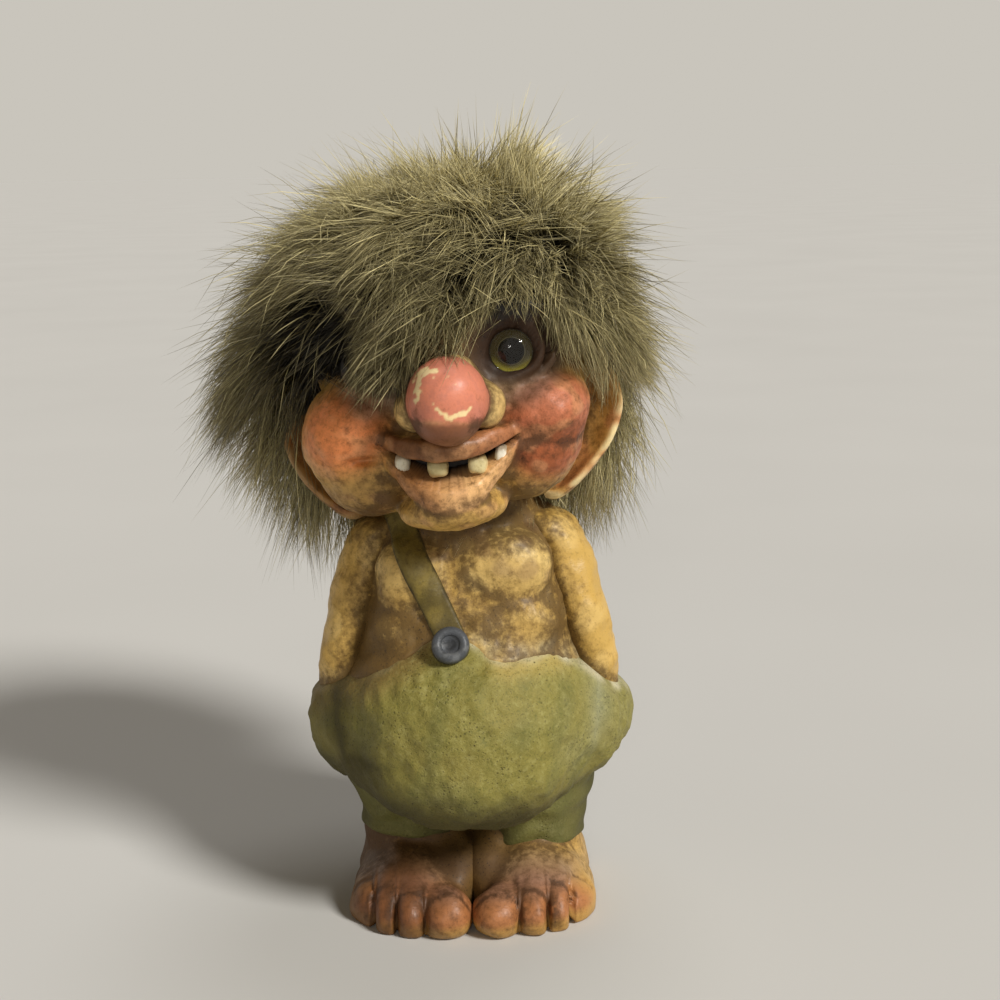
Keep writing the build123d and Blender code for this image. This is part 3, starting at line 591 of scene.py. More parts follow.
def squared(value, power):
    """A sine or cosine pushed towards a square by a power under one, its sign kept."""
    return np.sign(value) * np.abs(value) ** power


up_lean = np.array([-math.sin(STRAP_LEAN), 0.0, math.cos(STRAP_LEAN)])
across_lean = np.array([math.cos(STRAP_LEAN), 0.0, math.sin(STRAP_LEAN)])
swing = np.linspace(STRAP_START, STRAP_END, STRAP_ROWS)
lap = np.linspace(0.0, 2 * np.pi, STRAP_COLUMNS, endpoint=False)
swing, lap = np.meshgrid(swing, lap, indexing="ij")
across = squared(np.cos(lap), 0.6) * STRAP_WIDTH / 2
lift = np.where(np.sin(lap) > 0, STRAP_THICK * np.abs(np.sin(lap)) ** 0.5, np.sin(lap) * STRAP_SUNK).ravel()
start = (STRAP_HEART + up_lean * STRAP_RAISE + across[..., None] * across_lean).reshape(-1, 3)
ray = np.sin(swing)[..., None] * up_lean - np.cos(swing)[..., None] * np.array([0.0, 1.0, 0.0])
ray = ray.reshape(-1, 3)
near, far = np.zeros(len(ray)), np.full(len(ray), STRAP_REACH)
for _ in range(16):
    middle = (near + far) / 2
    inside = torso_field(start + ray * middle[:, None]) < 0
    near, far = np.where(inside, middle, near), np.where(inside, far, middle)
lay = np.stack([eased(column, np.ones(17)) for column in far.reshape(STRAP_ROWS, STRAP_COLUMNS).T], 1)
points = start + ray * (np.maximum(lay.ravel(), far - 0.2) + lift)[:, None]
points = np.concatenate([points, [points[:STRAP_COLUMNS].mean(0), points[-STRAP_COLUMNS:].mean(0)]])
z = points[:, 2]
edge_wear = np.append(np.abs(across.ravel()) / (STRAP_WIDTH / 2), [0.0, 0.0])
wash = 0.28 + 0.35 * rise(edge_wear, 0.75, 1.0) + 0.05 * rise(z, 80.0, 88.0)
# The strap is painted paler towards its top as painted light, against the shade under the chin.
paint = layered(
    OLIVE, (WORN_OLIVE, 0.8 * rise(lumps(points, 6.0, 41), 0.0, 0.9)), (PAINTED_LIGHT_OLIVE, 0.6 * rise(z, 72.0, 82.0))
)
strap_paint = brushed_rubber("strap_olive_paint", STRAP_WASH, SOOT, 0.46, 0.35)
quads, ends = rings(STRAP_ROWS, STRAP_COLUMNS)
piece = add_piece("brace_strap", points, (quads[:, ::-1], ends[:, ::-1]), strap_paint, paint=paint, wash=wash)
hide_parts("strap")

# Button. A thick round brace button with a rolled rim and a dimpled middle, painted slate over the rubber.
# It stands out from the trouser bib on a short post, tipped up, with olive paint creeping up its wall.
BUTTON_COLUMNS = 96
BUTTON_TILT, BUTTON_SET_IN = math.radians(30.0), 0.5
POST_RADII, POST_HEIGHTS = (4.4, 3.9, 3.75), (-4.6, -2.4, -0.8)
RIM_RADIUS, RIM_WIDE, RIM_HIGH, RIM_HEIGHT = 2.75, 1.1, 1.15, 0.45
DISH_RADIUS, DISH_TOP, DISH_DEEP = 1.9, 1.05, 0.75
SLATE, PALE_SLATE, DARK_SLATE, WALL_OLIVE = (
    srgb(74, 77, 82), srgb(118, 120, 122), srgb(30, 31, 33), srgb(80, 74, 42)
)

low, high = corners("button")
button_middle = (low + high) / 2 + (0.0, BUTTON_SET_IN, 0.0)
button_axis = np.array([0.0, -math.cos(BUTTON_TILT), math.sin(BUTTON_TILT)])
button_up = np.array([0.0, math.sin(BUTTON_TILT), math.cos(BUTTON_TILT)])
rim = np.linspace(-0.5 * np.pi, 0.78 * np.pi, 26)[8:]
dish_r = DISH_RADIUS - DISH_RADIUS * np.linspace(0.0, 0.96, 14)
dish_h = DISH_TOP - DISH_DEEP * np.sin(np.linspace(0.15, 0.5, 14) * np.pi) ** 2
profile_r = np.concatenate([POST_RADII, RIM_RADIUS + RIM_WIDE * np.cos(rim), dish_r])
profile_h = np.concatenate([POST_HEIGHTS, RIM_HEIGHT + RIM_HIGH * np.sin(rim), dish_h])
turn = np.linspace(0.0, 2 * np.pi, BUTTON_COLUMNS, endpoint=False)
spin = np.sin(turn)[:, None] * np.array([1.0, 0.0, 0.0]) + np.cos(turn)[:, None] * button_up
points = profile_r[:, None, None] * spin[None] + profile_h[:, None, None] * button_axis
ends = [button_axis * profile_h[0], button_axis * profile_h[-1]]
points = np.concatenate([points.reshape(-1, 3), ends]) + button_middle
height = np.append(np.repeat(profile_h, BUTTON_COLUMNS), profile_h[[0, -1]])
radius = np.append(np.repeat(profile_r, BUTTON_COLUMNS), [0.0, 0.0])
paint = layered(
    SLATE,
    (WALL_OLIVE, rise(height, 0.2, -1.2)),
    (PALE_SLATE, 0.6 * rise(lumps(points, 3.0, 51), 0.2, 0.9) * rise(height, 0.6, 1.4)),
)
wash = 0.55 * rise(radius, 1.9, 0.6) + 0.45 * rise(height, 0.0, -1.6) + 0.15
slate = brushed_rubber("slate_button_paint", DARK_SLATE, SOOT, 0.36, 0.4)
faces = rings(len(profile_r), BUTTON_COLUMNS)
piece = add_piece("brace_button", points, faces, slate, paint=paint, wash=wash)
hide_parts("button")

# Head. The large hollow head of the casting: fat red cheeks, a wide crooked grin between full lips, and a
# round chin. Charcoal paint is rubbed into the eye sockets and brown wash into every fold.
HEAD_COLUMNS, HEAD_ROWS, HEAD_REACH = 380, 230, 52.0
low, high = corners("nose")
FACE_X = (low[0] + high[0]) / 2
low, high = corners("left_eye_iris")
EYE_X, _, EYE_Z = (low + high) / 2 - (FACE_X, 0.0, 0.0)
SKULL = ((FACE_X, 0.0, 124.0), (31.0, 33.0, 26.2))
BROW_SIZE = (10.0, 6.0, 4.0)
FACE_MASSES = {
    "jaw": ((0.0, -7.0, 107.5), (24.5, 24.5, 17.5)),
    "right_cheek": ((-20.0, -22.0, 108.8), (10.8, 12.6, 11.0)),
    "left_cheek": ((19.2, -22.6, 110.8), (9.3, 12.0, 8.0)),
    "left_low_cheek": ((17.6, -20.8, 102.6), (8.8, 11.6, 7.2)),
    "muzzle": ((0.0, -22.4, 104.2), (15.0, 15.4, 9.0)),
    "chin": ((0.2, -28.4, 93.0), (11.2, 10.2, 4.6)),
    "bridge": ((0.0, -29.0, 119.5), (7.0, 7.0, 8.0)),
    "left_brow": ((EYE_X - 1.0, -27.0, 132.6), BROW_SIZE),
    "right_brow": ((1.0 - EYE_X, -27.0, 132.6), BROW_SIZE),
    "right_jowl": ((-15.5, -20.0, 99.8), (10.6, 12.6, 9.0)),
    "left_jowl": ((14.0, -19.0, 98.0), (9.0, 11.0, 6.6)),
}
SKULL_GROUP = ("skull", "jaw", "bridge", "left_brow", "right_brow", "right_jowl", "left_jowl")
CHEEK_GROUP = ("right_cheek", "left_cheek", "left_low_cheek")
MUZZLE_GROUP = ("muzzle", "upper_lip", "lower_lip", "chin")
GRIN_TILT, GRIN_HALF = 0.075, 13.6
LIP_HALF, LIP_SETBACK = 15.8, 7.5
UPPER_LIP_LINE, LOWER_LIP_LINE = (106.2, 1.5, -38.2, 2.7), (96.8, 9.4, -37.8, 2.9)
ROOF_Z, ROOF_RISE, FLOOR_Z, FLOOR_RISE, GUM_Y = 104.0, 3.2, 99.1, 7.8, -30.5
LID_RADIUS, LID_Y, LID_THICK = 5.8, -28.8, 0.95
BAG_RADIUS, BAG_Y, BAG_THICK = 8.2, -27.9, 1.1
SOCKET_Y, SOCKET_SIZE = -35.6, (9.2, 7.6, 8.4)
DIMPLE = ((-16.8, -34.0, 104.6), (3.4, 2.6, 0.9))
RIGHT_BLUSH, LEFT_BLUSH, LEFT_ROSE = srgb(228, 134, 78), srgb(168, 84, 50), srgb(212, 128, 92)
UPPER_LIP_AND_NOSE_SHADOW, UPPER_LIP_LIT_END = srgb(112, 60, 30), srgb(192, 126, 84)
LOWER_LIP, LOWER_LIP_HIGHLIGHT = srgb(182, 122, 72), srgb(250, 198, 136)
FACE_BLOOM, JOWL_BROWN, LID_DUST = srgb(214, 160, 112), srgb(112, 74, 30), srgb(126, 110, 98)
CHARCOAL, BROW_BROWN = srgb(40, 39, 40), srgb(62, 46, 32)
HAIR_SHADE, MOUTH_SHADE = srgb(14, 11, 8), srgb(26, 14, 8)


def face_place(points):
    """Points seen from the middle of the face, with the lower face tipped up to the figure's left."""
    local = points - (FACE_X, 0.0, 0.0)
    local[:, 2] -= GRIN_TILT * local[:, 0] * rise(points[:, 2], 126.0, 116.0)
    return local


def lip(local, middle, lift, front, width):
    """A lip: a rounded bar along the grin, whose height and setback grow with the square of the distance
    from the middle, thinning to nothing just past the corners."""
    x, y, z = local.T
    grin = (x / GRIN_HALF) ** 2
    tall = np.sqrt(np.clip(1.0 - (x / LIP_HALF) ** 2, 0.0, 1.0))
    offset = np.hypot(z - middle - lift * grin, 1.25 * (y - front - LIP_SETBACK * grin))
    return offset - width * tall * (1.0 + 0.12 * lumps(local, 7.0, 59))


def head_forms(points):
    """The masses of the head by name, the lips, and a ring and a bag as the lids round each eye."""
    local = face_place(points)
    forms = {name: ellipsoid(local, *mass) for name, mass in FACE_MASSES.items()}
    x, y, z = local.T
    ring = np.hypot(np.abs(x) - EYE_X, z - EYE_Z)
    forms["skull"] = ellipsoid(points, *SKULL)
    forms["upper_lip"] = lip(local, *UPPER_LIP_LINE)
    forms["lower_lip"] = lip(local, *LOWER_LIP_LINE)
    forms["lid"] = np.hypot(ring - LID_RADIUS, y - LID_Y) - LID_THICK
    forms["bag"] = np.hypot(ring - BAG_RADIUS, y - BAG_Y) - BAG_THICK * rise(z, EYE_Z + 1.0, EYE_Z - 3.0)
    return forms


def face_groups(forms):
    """The head's forms as two groups run together: skull and cheeks, then muzzle, lips and chin."""
    cheeks = melt([forms[name] for name in SKULL_GROUP + CHEEK_GROUP], 2.0) + 0.6
    muzzle = melt([forms[name] for name in MUZZLE_GROUP], 1.4) + 0.35
    return cheeks, muzzle


def mouth_gap(points):
    """The open mouth: between the upper and lower edge of the grin, in front of the gums."""
    x, y, z = face_place(points).T
    grin = (x / GRIN_HALF) ** 2
    roof, floor = ROOF_Z + ROOF_RISE * grin, FLOOR_Z + FLOOR_RISE * grin
    return np.maximum(np.abs(z - (roof + floor) / 2) - (roof - floor) / 2, y - GUM_Y)


def head_field(points):
    """The masses run together, with the sockets, the mouth and a dimple carved out."""
    local = face_place(points)
    forms = head_forms(points)
    body = melt(face_groups(forms), 0.8)
    for side in (1.0, -1.0):
        body = carve(body, ellipsoid(local, (side * EYE_X, SOCKET_Y, EYE_Z + 0.6), SOCKET_SIZE), 0.9)
    body = melt([body, forms["lid"], forms["bag"]], 0.5)
    body = carve(body, ellipsoid(local, *DIMPLE), 0.5)
    body = carve(body, mouth_gap(points), 0.35)
    return body + 0.16 * lumps(points, 7.0, 61) + 0.06 * lumps(points, 2.8, 62)


heart = np.array([FACE_X, -9.0, 107.5])
points, faces = skin(head_field, heart, HEAD_ROWS, HEAD_COLUMNS, HEAD_REACH, 0.5, 0.22)
x, y, z = points.T
local = face_place(points)
face_x, _, face_z = local.T
forms = head_forms(points)
face = rise(-y, 8.0, 18.0)
right_blush = rise(np.linalg.norm((local - (-21.0, -30.0, 110.5)) / (13.0, 16.0, 11.0), axis=1), 1.05, 0.45)
left_blush = rise(np.linalg.norm((local - (20.0, -29.0, 107.5)) / (12.5, 17.0, 13.0), axis=1), 1.05, 0.6)
upper, lower = rise(forms["upper_lip"], 1.2, 0.0), rise(forms["lower_lip"], 1.2, 0.0)
lips = rise(np.minimum(forms["upper_lip"], forms["lower_lip"]), 1.0, 0.0)
socket = rise(np.hypot(np.abs(face_x) - EYE_X, face_z - EYE_Z - 0.5), 9.5, 5.5) * face
dusk = rise(np.hypot(np.abs(face_x) - EYE_X, face_z - EYE_Z + 1.0), 13.0, 8.5) * face
under_hair = np.maximum(rise(x, -17.0, -23.0) * rise(z, 117.5, 121.0), rise(z, 127.0, 133.0))
brow_side = rise(face_x, 13.0, 19.0) * rise(z, 117.0, 121.0)
gape = rise(mouth_gap(points), 1.6, 0.2) * rise(y - LIP_SETBACK * (face_x / GRIN_HALF) ** 2, -38.2, -34.5)
# The upper lip is painted darker as the nose's shadow and paler towards the figure's left end as painted
# light, and the lower lip has a painted highlight towards the figure's left.
paint = layered(
    OCHRE,
    (RIGHT_BLUSH, 0.92 * right_blush),
    (LEFT_BLUSH, 0.92 * left_blush),
    (LEFT_ROSE, 0.8 * left_blush * rise(face_z, 107.0, 111.0)),
    (UPPER_LIP_AND_NOSE_SHADOW, 0.9 * upper),
    (UPPER_LIP_LIT_END, 0.8 * upper * rise(face_x, 2.0, 9.0)),
    (LOWER_LIP, 0.9 * lower),
    (LOWER_LIP_HIGHLIGHT, 0.85 * lower * rise(face_x, -6.0, 3.0)),
    (FACE_BLOOM, 0.4 * rise(lumps(points, 6.0, 63), 0.1, 0.9) * face),
    (JOWL_BROWN, 0.4 * rise(face_z, 104.0, 97.0) * rise(face_x, -9.0, -15.0)),
    (LID_DUST, 0.65 * dusk),
    (CHARCOAL, 0.94 * socket),
    (BROW_BROWN, 0.8 * brow_side * face),
    (HAIR_SHADE, under_hair),
    (MOUTH_SHADE, gape),
)
small_folds = cleft([forms[name] for name in CHEEK_GROUP + MUZZLE_GROUP], 2.0)
folds = np.maximum(cleft(face_groups(forms), 1.5), 0.75 * small_folds) * (0.8 + 0.5 * lumps(points, 5.0, 60))
wash = 0.75 * folds * face * (1.0 - 0.75 * lips) + 0.28 * face + 0.4 * rise(forms["bridge"], 1.0, 0.0)
wash = wash + 0.3 * rise(face_z, 99.0, 92.0) * (1.0 - rise(forms["chin"], 1.0, 0.0))
wash = np.clip(wash + 0.5 * socket, 0.0, 1.0) * (1.0 - np.maximum(under_hair, gape))
piece = add_piece("head_casting", points, faces, bare_skin, paint=paint, wash=wash)
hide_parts("head")

# Teeth. Four stubby pegs set apart behind the upper lip, cast with the head and touched in with an
# uneven ivory.
TOOTH_COLUMNS, TOOTH_ROWS = 40, 24
TOOTH_X = (-9.3, -2.3, 5.5, 10.1)
TOOTH_Z = (103.8, 102.7, 102.5, 103.6)
TOOTH_SIZE = ((1.5, 1.8), (2.1, 1.9), (1.9, 1.9), (1.2, 1.8))
TOOTH_TONE = (srgb(232, 226, 206), srgb(190, 176, 128), srgb(212, 198, 150), srgb(238, 232, 214))
TOOTH_FRONT, TOOTH_SETBACK, TOOTH_DEEP = -35.6, 5.5, 2.4
TOOTH_ROOT, TOOTH_WASH, TOOTH_SPECK = srgb(120, 96, 56), srgb(96, 72, 40), srgb(70, 50, 30)

turn = np.linspace(0.0, 2 * np.pi, TOOTH_COLUMNS, endpoint=False)
tilt = np.linspace(-np.pi / 2, np.pi / 2, TOOTH_ROWS + 2)[1:-1]
turn, tilt = np.meshgrid(turn, tilt)
wide = squared(np.cos(tilt), 0.6)
peg = [squared(np.sin(turn), 0.7) * wide, -squared(np.cos(turn), 0.7) * wide, squared(np.sin(tilt), 0.6)]
peg = np.concatenate([np.stack(peg, -1).reshape(-1, 3), [[0, 0, -1], [0, 0, 1]]])
quads, ends = rings(TOOTH_ROWS, TOOTH_COLUMNS)
peg_points, peg_quads, peg_ends, peg_paint = [], [], [], []
for number, (x, z, (half, tall), tone) in enumerate(zip(TOOTH_X, TOOTH_Z, TOOTH_SIZE, TOOTH_TONE)):
    depth = TOOTH_FRONT + TOOTH_SETBACK * (x / GRIN_HALF) ** 2
    peg_points.append(peg * (half, TOOTH_DEEP, tall) + (FACE_X + x, depth, z + GRIN_TILT * x))
    peg_quads.append(quads + number * len(peg))
    peg_ends.append(ends + number * len(peg))
    peg_paint.append(layered(tone, (TOOTH_ROOT, rise(peg[:, 2], 0.2, 0.9) * 0.7)))
points = np.concatenate(peg_points)
points = points + 0.1 * lumps(points, 2.5, 64)[:, None]
paint, wash = np.concatenate(peg_paint), np.full(len(points), 0.15)
faces = (np.concatenate(peg_quads), np.concatenate(peg_ends))
ivory = brushed_rubber("tooth_ivory_paint", TOOTH_WASH, TOOTH_SPECK, 0.3, 0.2)
piece = add_piece("teeth_casting", points, faces, ivory, paint=paint, wash=wash)
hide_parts("teeth")

# Nose. A ball of a nose with two flared wings, cast with the face. It is painted pink over a cream ground,
# and handling has rubbed the pink off in a hook and a bow across the front.
NOSE_COLUMNS, NOSE_ROWS, NOSE_REACH = 200, 130, 22.0
NOSE_MASSES = (
    ((0.0, 0.0, 0.4), (7.9, 8.3, 7.9)),
    ((-0.2, -1.0, -3.8), (6.0, 6.4, 4.9)),
    ((-6.6, 8.0, -3.2), (4.4, 5.6, 4.6)),
    ((6.9, 7.8, -2.4), (4.6, 5.7, 5.0)),
    ((0.0, 9.0, 2.0), (6.4, 8.0, 6.4)),
)
WING_CREAM, NOSE_PINK, NOSE_BROWN = srgb(226, 190, 122), srgb(208, 128, 104), srgb(112, 72, 42)
RUBBED_CREAM, NOSE_SPECK = srgb(240, 216, 164), srgb(110, 60, 46)
low, high = corners("nose")
BULB = np.array([FACE_X, low[1] + 8.5, high[2] - 8.5])


def nose_forms(points):
    """Ball, drooping tip, two wings and the bridge behind, about the middle of the ball."""
    return [ellipsoid(points, BULB + place, size) for place, size in NOSE_MASSES]


def nose_field(points):
    """The nose's forms run together, hardly uneven."""
    return melt(nose_forms(points), 1.2) + 0.35 + 0.1 * lumps(points, 6.0, 65)


points, faces = skin(nose_field, BULB + (0.0, 3.0, -0.5), NOSE_ROWS, NOSE_COLUMNS, NOSE_REACH, 0.3)
forms = nose_forms(points)
x, y, z = (points - BULB).T
ragged = 0.5 * lumps(points, 2.2, 66) + 0.35 * lumps(points, 1.1, 67)
ball = rise(np.minimum(forms[0], forms[1]), 1.2, 0.2)
hook = np.minimum(
    np.hypot(x + 5.2, np.maximum(np.abs(z - 3.2) - 2.4, 0.0)),
    np.hypot(np.maximum(np.abs(x + 3.8) - 1.6, 0.0), z - 5.8),
)
bow = np.hypot(np.maximum(np.abs(x - 1.6) - 2.9, 0.0), z + 2.2 - 0.16 * (x - 1.6) ** 2)
flecks = rise(ragged, 0.55, 0.75) * rise(np.hypot(x - 2.0, z - 3.9), 2.4, 1.0)
rubbed = np.maximum(rise(hook + 0.75 * ragged, 0.75, 0.25), rise(bow + 0.75 * ragged, 0.65, 0.2))
paint = layered(
    WING_CREAM,
    (NOSE_PINK, ball),
    (NOSE_BROWN, 0.85 * ball * rise(z + 0.5 * ragged, -2.6, -4.4)),
    (RUBBED_CREAM, 0.95 * np.maximum(rubbed, flecks) * rise(-y, 1.0, 3.0) * ball),
)
wash = 0.95 * cleft(forms[:4], 1.3) * rise(np.abs(x), 3.0, 6.0) + 0.35 * (1.0 - ball) * rise(y, 4.0, 9.0)
wash = np.clip(wash + 0.25 * rise(z, -4.5, -7.5) + 0.28 * (1.0 - ball), 0.0, 1.0)
nose_paint = brushed_rubber("nose_pink_paint", WASH_AND_SHADE_BROWN, NOSE_SPECK, 0.34, 0.16)
piece = add_piece("nose_casting", points, faces, nose_paint, paint=paint, wash=wash)
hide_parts("nose")

# Ears. Large thin leaf-shaped ears that cup forward from behind the cheeks, part of the casting. The rolled
# rim is worn pale, and the bowl keeps a dark wash.
EAR_COLUMNS, EAR_ROWS = 72, 120
EAR_RIM_X = (22.0, 29.5, 34.6, 36.2, 33.6, 28.2, 22.6, 18.6)
EAR_RIM_Y = (-1.0, -4.5, -7.0, -8.5, -10.0, -11.0, -11.0, -9.0)
EAR_RIM_Z = (116.0, 118.6, 114.2, 107.0, 99.8, 93.8, 89.2, 89.6)
EAR_MIDDLE, EAR_TILT = 104.0, 0.085
EAR_BOWL, EAR_WALL, EAR_ROLL, EAR_RIDGE = 2.6, 1.4, 1.2, 1.1
EAR_OCHRE, EAR_BLUSH, EAR_SHADE = srgb(206, 158, 88), srgb(188, 110, 74), srgb(132, 88, 38)
EAR_CREAM = srgb(236, 214, 160)

for node, side in (("left_ear", 1.0), ("right_ear", -1.0)):
    along = np.linspace(0.0, 1.0, EAR_ROWS)
    station = np.linspace(0.0, 1.0, len(EAR_RIM_X))
    lines = [np.interp(along, station, line) for line in (EAR_RIM_X, EAR_RIM_Y, EAR_RIM_Z)]
    rim = np.stack([eased(line, np.hanning(27)[1:-1]) for line in lines], -1)
    above = rim[:, 2] - EAR_MIDDLE
    # The upper half of the right ear is pressed down by the hair.
    if side < 0:
        above = np.where(above > 0.0, above * 0.6, above)
        rim[:, 2] = EAR_MIDDLE + above
    root = np.stack([16.0 + 2.0 * along, 1.0 - 6.0 * along**3, EAR_MIDDLE + above * 0.8], -1)
    outward = unit(rim - root)
    width = np.linalg.norm(rim - root, axis=1, keepdims=True)
    behind = unit(np.cross(np.gradient(rim, axis=0), outward))
    behind *= np.sign(behind[:, 1:2])
    lap = np.linspace(0.0, 2 * np.pi, EAR_COLUMNS, endpoint=False)
    share = (1.0 - np.cos(lap)) / 2.0
    fullness = np.sin(np.pi * along)[:, None]
    bowl = EAR_BOWL * 4.0 * share * (1.0 - share) * fullness
    wall = EAR_WALL + EAR_ROLL * bell(1.0 - share, 0.16)
    ridge = EAR_RIDGE * bell(share - 0.56, 0.11) * fullness
    offset = bowl - ridge * (np.sin(lap) > 0) - wall * np.sin(lap)
    points = root[:, None] + outward[:, None] * (share * width)[..., None]
    points = points + behind[:, None] * offset[..., None]
    points = np.concatenate([points.reshape(-1, 3), [points[0].mean(0), points[-1].mean(0)]])
    share = np.append(np.tile(share, EAR_ROWS), [0.5, 0.5])
    points[:, 2] += EAR_TILT * side * points[:, 0]
    points[:, 0] = FACE_X + side * points[:, 0]
    points = points + (0.22 * lumps(points, 7.0, 68))[:, None] * (0.3, 1.0, 0.2)
    facing = np.append(np.tile(np.sin(lap) > 0, EAR_ROWS), [False, False])
    worn = rise(share, 0.9, 0.99) * (0.4 + 0.6 * lumps(points, 5.0, 70))
    paint = layered(
        EAR_OCHRE,
        (EAR_BLUSH, 0.55 * rise(lumps(points, 9.0, 69), -0.2, 0.7)),
        (EAR_CREAM, worn),
        (EAR_SHADE, 0.75 * rise(points[:, 0], 0.0, -8.0)),
    )
    wash = np.clip(0.3 + 0.45 * rise(share, 0.85, 0.45) * facing + 0.3 * ~facing - 0.4 * worn, 0.0, 1.0)
    quads, ends = rings(EAR_ROWS, EAR_COLUMNS)
    faces = (quads, ends) if side < 0 else (quads[:, ::-1], ends[:, ::-1])
    piece = add_piece(f"{node}_casting", points, faces, bare_skin, paint=paint, wash=wash)
    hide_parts(node)

# Eyes. Bought-in glass eyes: a clear dome over an amber enamel disc with a black pupil, each on a wire pin
# that is pushed into the face. They stand a little further out here than in the CAD.
EYE_COLUMNS = 96
EYE_SWELL, PUPIL_SWELL = 1.1, 1.36
EYE_PROUD = np.array([0.0, -0.9, 0.0])
AMBER_TOP, AMBER_LIT_CRESCENT, AMBER_FIBRE = srgb(92, 80, 24), srgb(240, 230, 80), srgb(70, 50, 12)
AMBER_RIM, AMBER_DEEP, PUPIL_REFRACTION_RING = srgb(20, 13, 6), srgb(26, 17, 6), srgb(176, 164, 96)
PUPIL_DARK, PUPIL_LIGHT = srgb(3, 3, 2), srgb(8, 6, 5)


def turned(profile_r, profile_h, middle):
    """A turned form's points and faces: a profile of radii and of heights towards the front, spun about Y
    through its middle."""
    turn = np.linspace(0.0, 2 * np.pi, EYE_COLUMNS, endpoint=False)
    x = profile_r[:, None] * np.sin(turn)
    z = profile_r[:, None] * np.cos(turn)
    y = np.broadcast_to(-profile_h[:, None], x.shape)
    spun = np.stack([x, y, z], -1).reshape(-1, 3)
    ends = [[0.0, -profile_h[0], 0.0], [0.0, -profile_h[-1], 0.0]]
    return np.concatenate([spun, ends]) + middle, rings(len(profile_r), EYE_COLUMNS)


def add_uv(piece, label, uv):
    """A UV map with one place for each point."""
    order = np.zeros(len(piece.data.loops), np.int32)
    piece.data.loops.foreach_get("vertex_index", order)
    piece.data.uv_layers.new(name=label).data.foreach_set("uv", uv[order].astype(np.float32).ravel())


def enamel(name):
    """Amber enamel: fine radial fibres from the angle about the eye's own middle, dark at the rim and at the
    pupil, with a pale ring round the pupil painted in for the dome's refraction, and brighter and greener low
    down as painted light that the dome gathers."""
    material, bench, shader = new_finish(name, Roughness=0.5, Specular_IOR_Level=0.1)
    fibre = bench.node("UVMap", {"uv_map": "disc"}).noise(26.0, 4.0)
    radius = bench.brushed("radius")
    colour = bench.brushed("low").between(AMBER_TOP, AMBER_LIT_CRESCENT)
    colour = colour.mix(AMBER_FIBRE, fibre.step(0.5, 0.7) * 0.5)
    colour = colour.mix(AMBER_RIM, radius.step(0.9, 0.99) * 0.95)
    colour = colour.mix(AMBER_DEEP, radius.step(0.68, 0.6) * 0.8)
    colour = colour.mix(PUPIL_REFRACTION_RING, radius.step(0.59, 0.61) * radius.step(0.65, 0.62) * 0.6)
    colour.into(shader, "Base Color")
    return material


amber = enamel("amber_enamel")
pupil_black, bench, shader = new_finish("pupil_black", Specular_IOR_Level=0.05)
soft_spot = bench.place().noise(900.0)
soft_spot.between(PUPIL_DARK, PUPIL_LIGHT).into(shader, "Base Color")
(0.5 + soft_spot * 0.2).into(shader, "Roughness")
clear_glass, bench, shader = new_finish(
    "clear_eye_glass", Base_Color=(0.012, 0.01, 0.006, 1.0), Alpha=0.3, IOR=1.5, Specular_IOR_Level=0.6,
    Coat_Weight=1.0, Coat_IOR=1.6, Coat_Roughness=0.02,
)
(0.01 + bench.place().noise(500.0) * 0.03).into(shader, "Roughness")

for side in ("left", "right"):
    low, high = corners(f"{side}_eye_iris") + EYE_PROUD
    middle = (low + high) / 2
    disc = (high[0] - low[0]) / 2 * EYE_SWELL
    share = np.linspace(0.0, 1.0, 24)
    iris_r = np.concatenate([disc * np.array([0.02, 0.6, 0.97]), disc * (0.98 - 0.96 * share)])
    iris_h = np.concatenate([[-0.35, -0.35, -0.3], 0.35 - 0.25 * share])
    points, faces = turned(iris_r, iris_h, middle)
    x, _, z = (points - middle).T
    radius = np.hypot(x, z) / disc
    # Low down the enamel is painted brighter and greener as the light that the dome gathers there.
    lit_crescent = rise(-z, 0.4, 4.1) * rise(radius, 0.55, 0.95)
    piece = add_piece(f"{side}_eye_enamel", points, faces, amber, radius=radius, low=lit_crescent)
    add_uv(piece, "disc", np.stack([np.abs(np.arctan2(x, z)) / np.pi * 3.0, radius * 0.25], -1))
    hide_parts(f"{side}_eye_iris")

    low, high = corners(f"{side}_eye_pupil") + EYE_PROUD
    pupil = (high[0] - low[0]) / 2 * PUPIL_SWELL
    pupil_r = pupil * np.array([0.02, 0.7, 0.95, 1.0, 0.96, 0.8, 0.5, 0.2, 0.02])
    pupil_h = np.array([-0.2, -0.2, -0.15, 0.0, 0.1, 0.16, 0.2, 0.22, 0.22])
    points, faces = turned(pupil_r, pupil_h, (low + high) / 2)
    piece = add_piece(f"{side}_eye_centre", points, faces, pupil_black)
    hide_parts(f"{side}_eye_pupil")

    low, high = corners(f"{side}_eye_glass") + EYE_PROUD
    dome = high[1] - low[1]
    share = np.linspace(0.0, 1.0, 30)[:-1]
    glass_r = np.concatenate([disc * np.array([0.02, 0.5, 0.95]), disc * np.cos(share * np.pi / 2)])
    glass_h = np.concatenate([[0.0, 0.0, 0.0], 0.04 + (dome - 0.04) * np.sin(share * np.pi / 2)])
    points, faces = turned(glass_r, glass_h, np.array([middle[0], high[1] - 0.02, middle[2]]))
    piece = add_piece(f"{side}_eye_dome", points, faces, clear_glass)
    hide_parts(f"{side}_eye_glass")

# Hidden fixings. The wire pins behind the eyes, the cork in the pour hole and the woven backing that the
# fur is rooted in. The CAD solids have their shape, and each gets its own finish here.
WIRE_DARK, WIRE_LIGHT = (0.32, 0.31, 0.3), (0.6, 0.58, 0.55)
CORK_BROWN, CORK_TAN, CORK_PORE = srgb(150, 106, 64), srgb(206, 164, 112), srgb(84, 52, 28)
BACKING_DARK, BACKING_LIGHT = srgb(22, 17, 11), srgb(52, 42, 27)

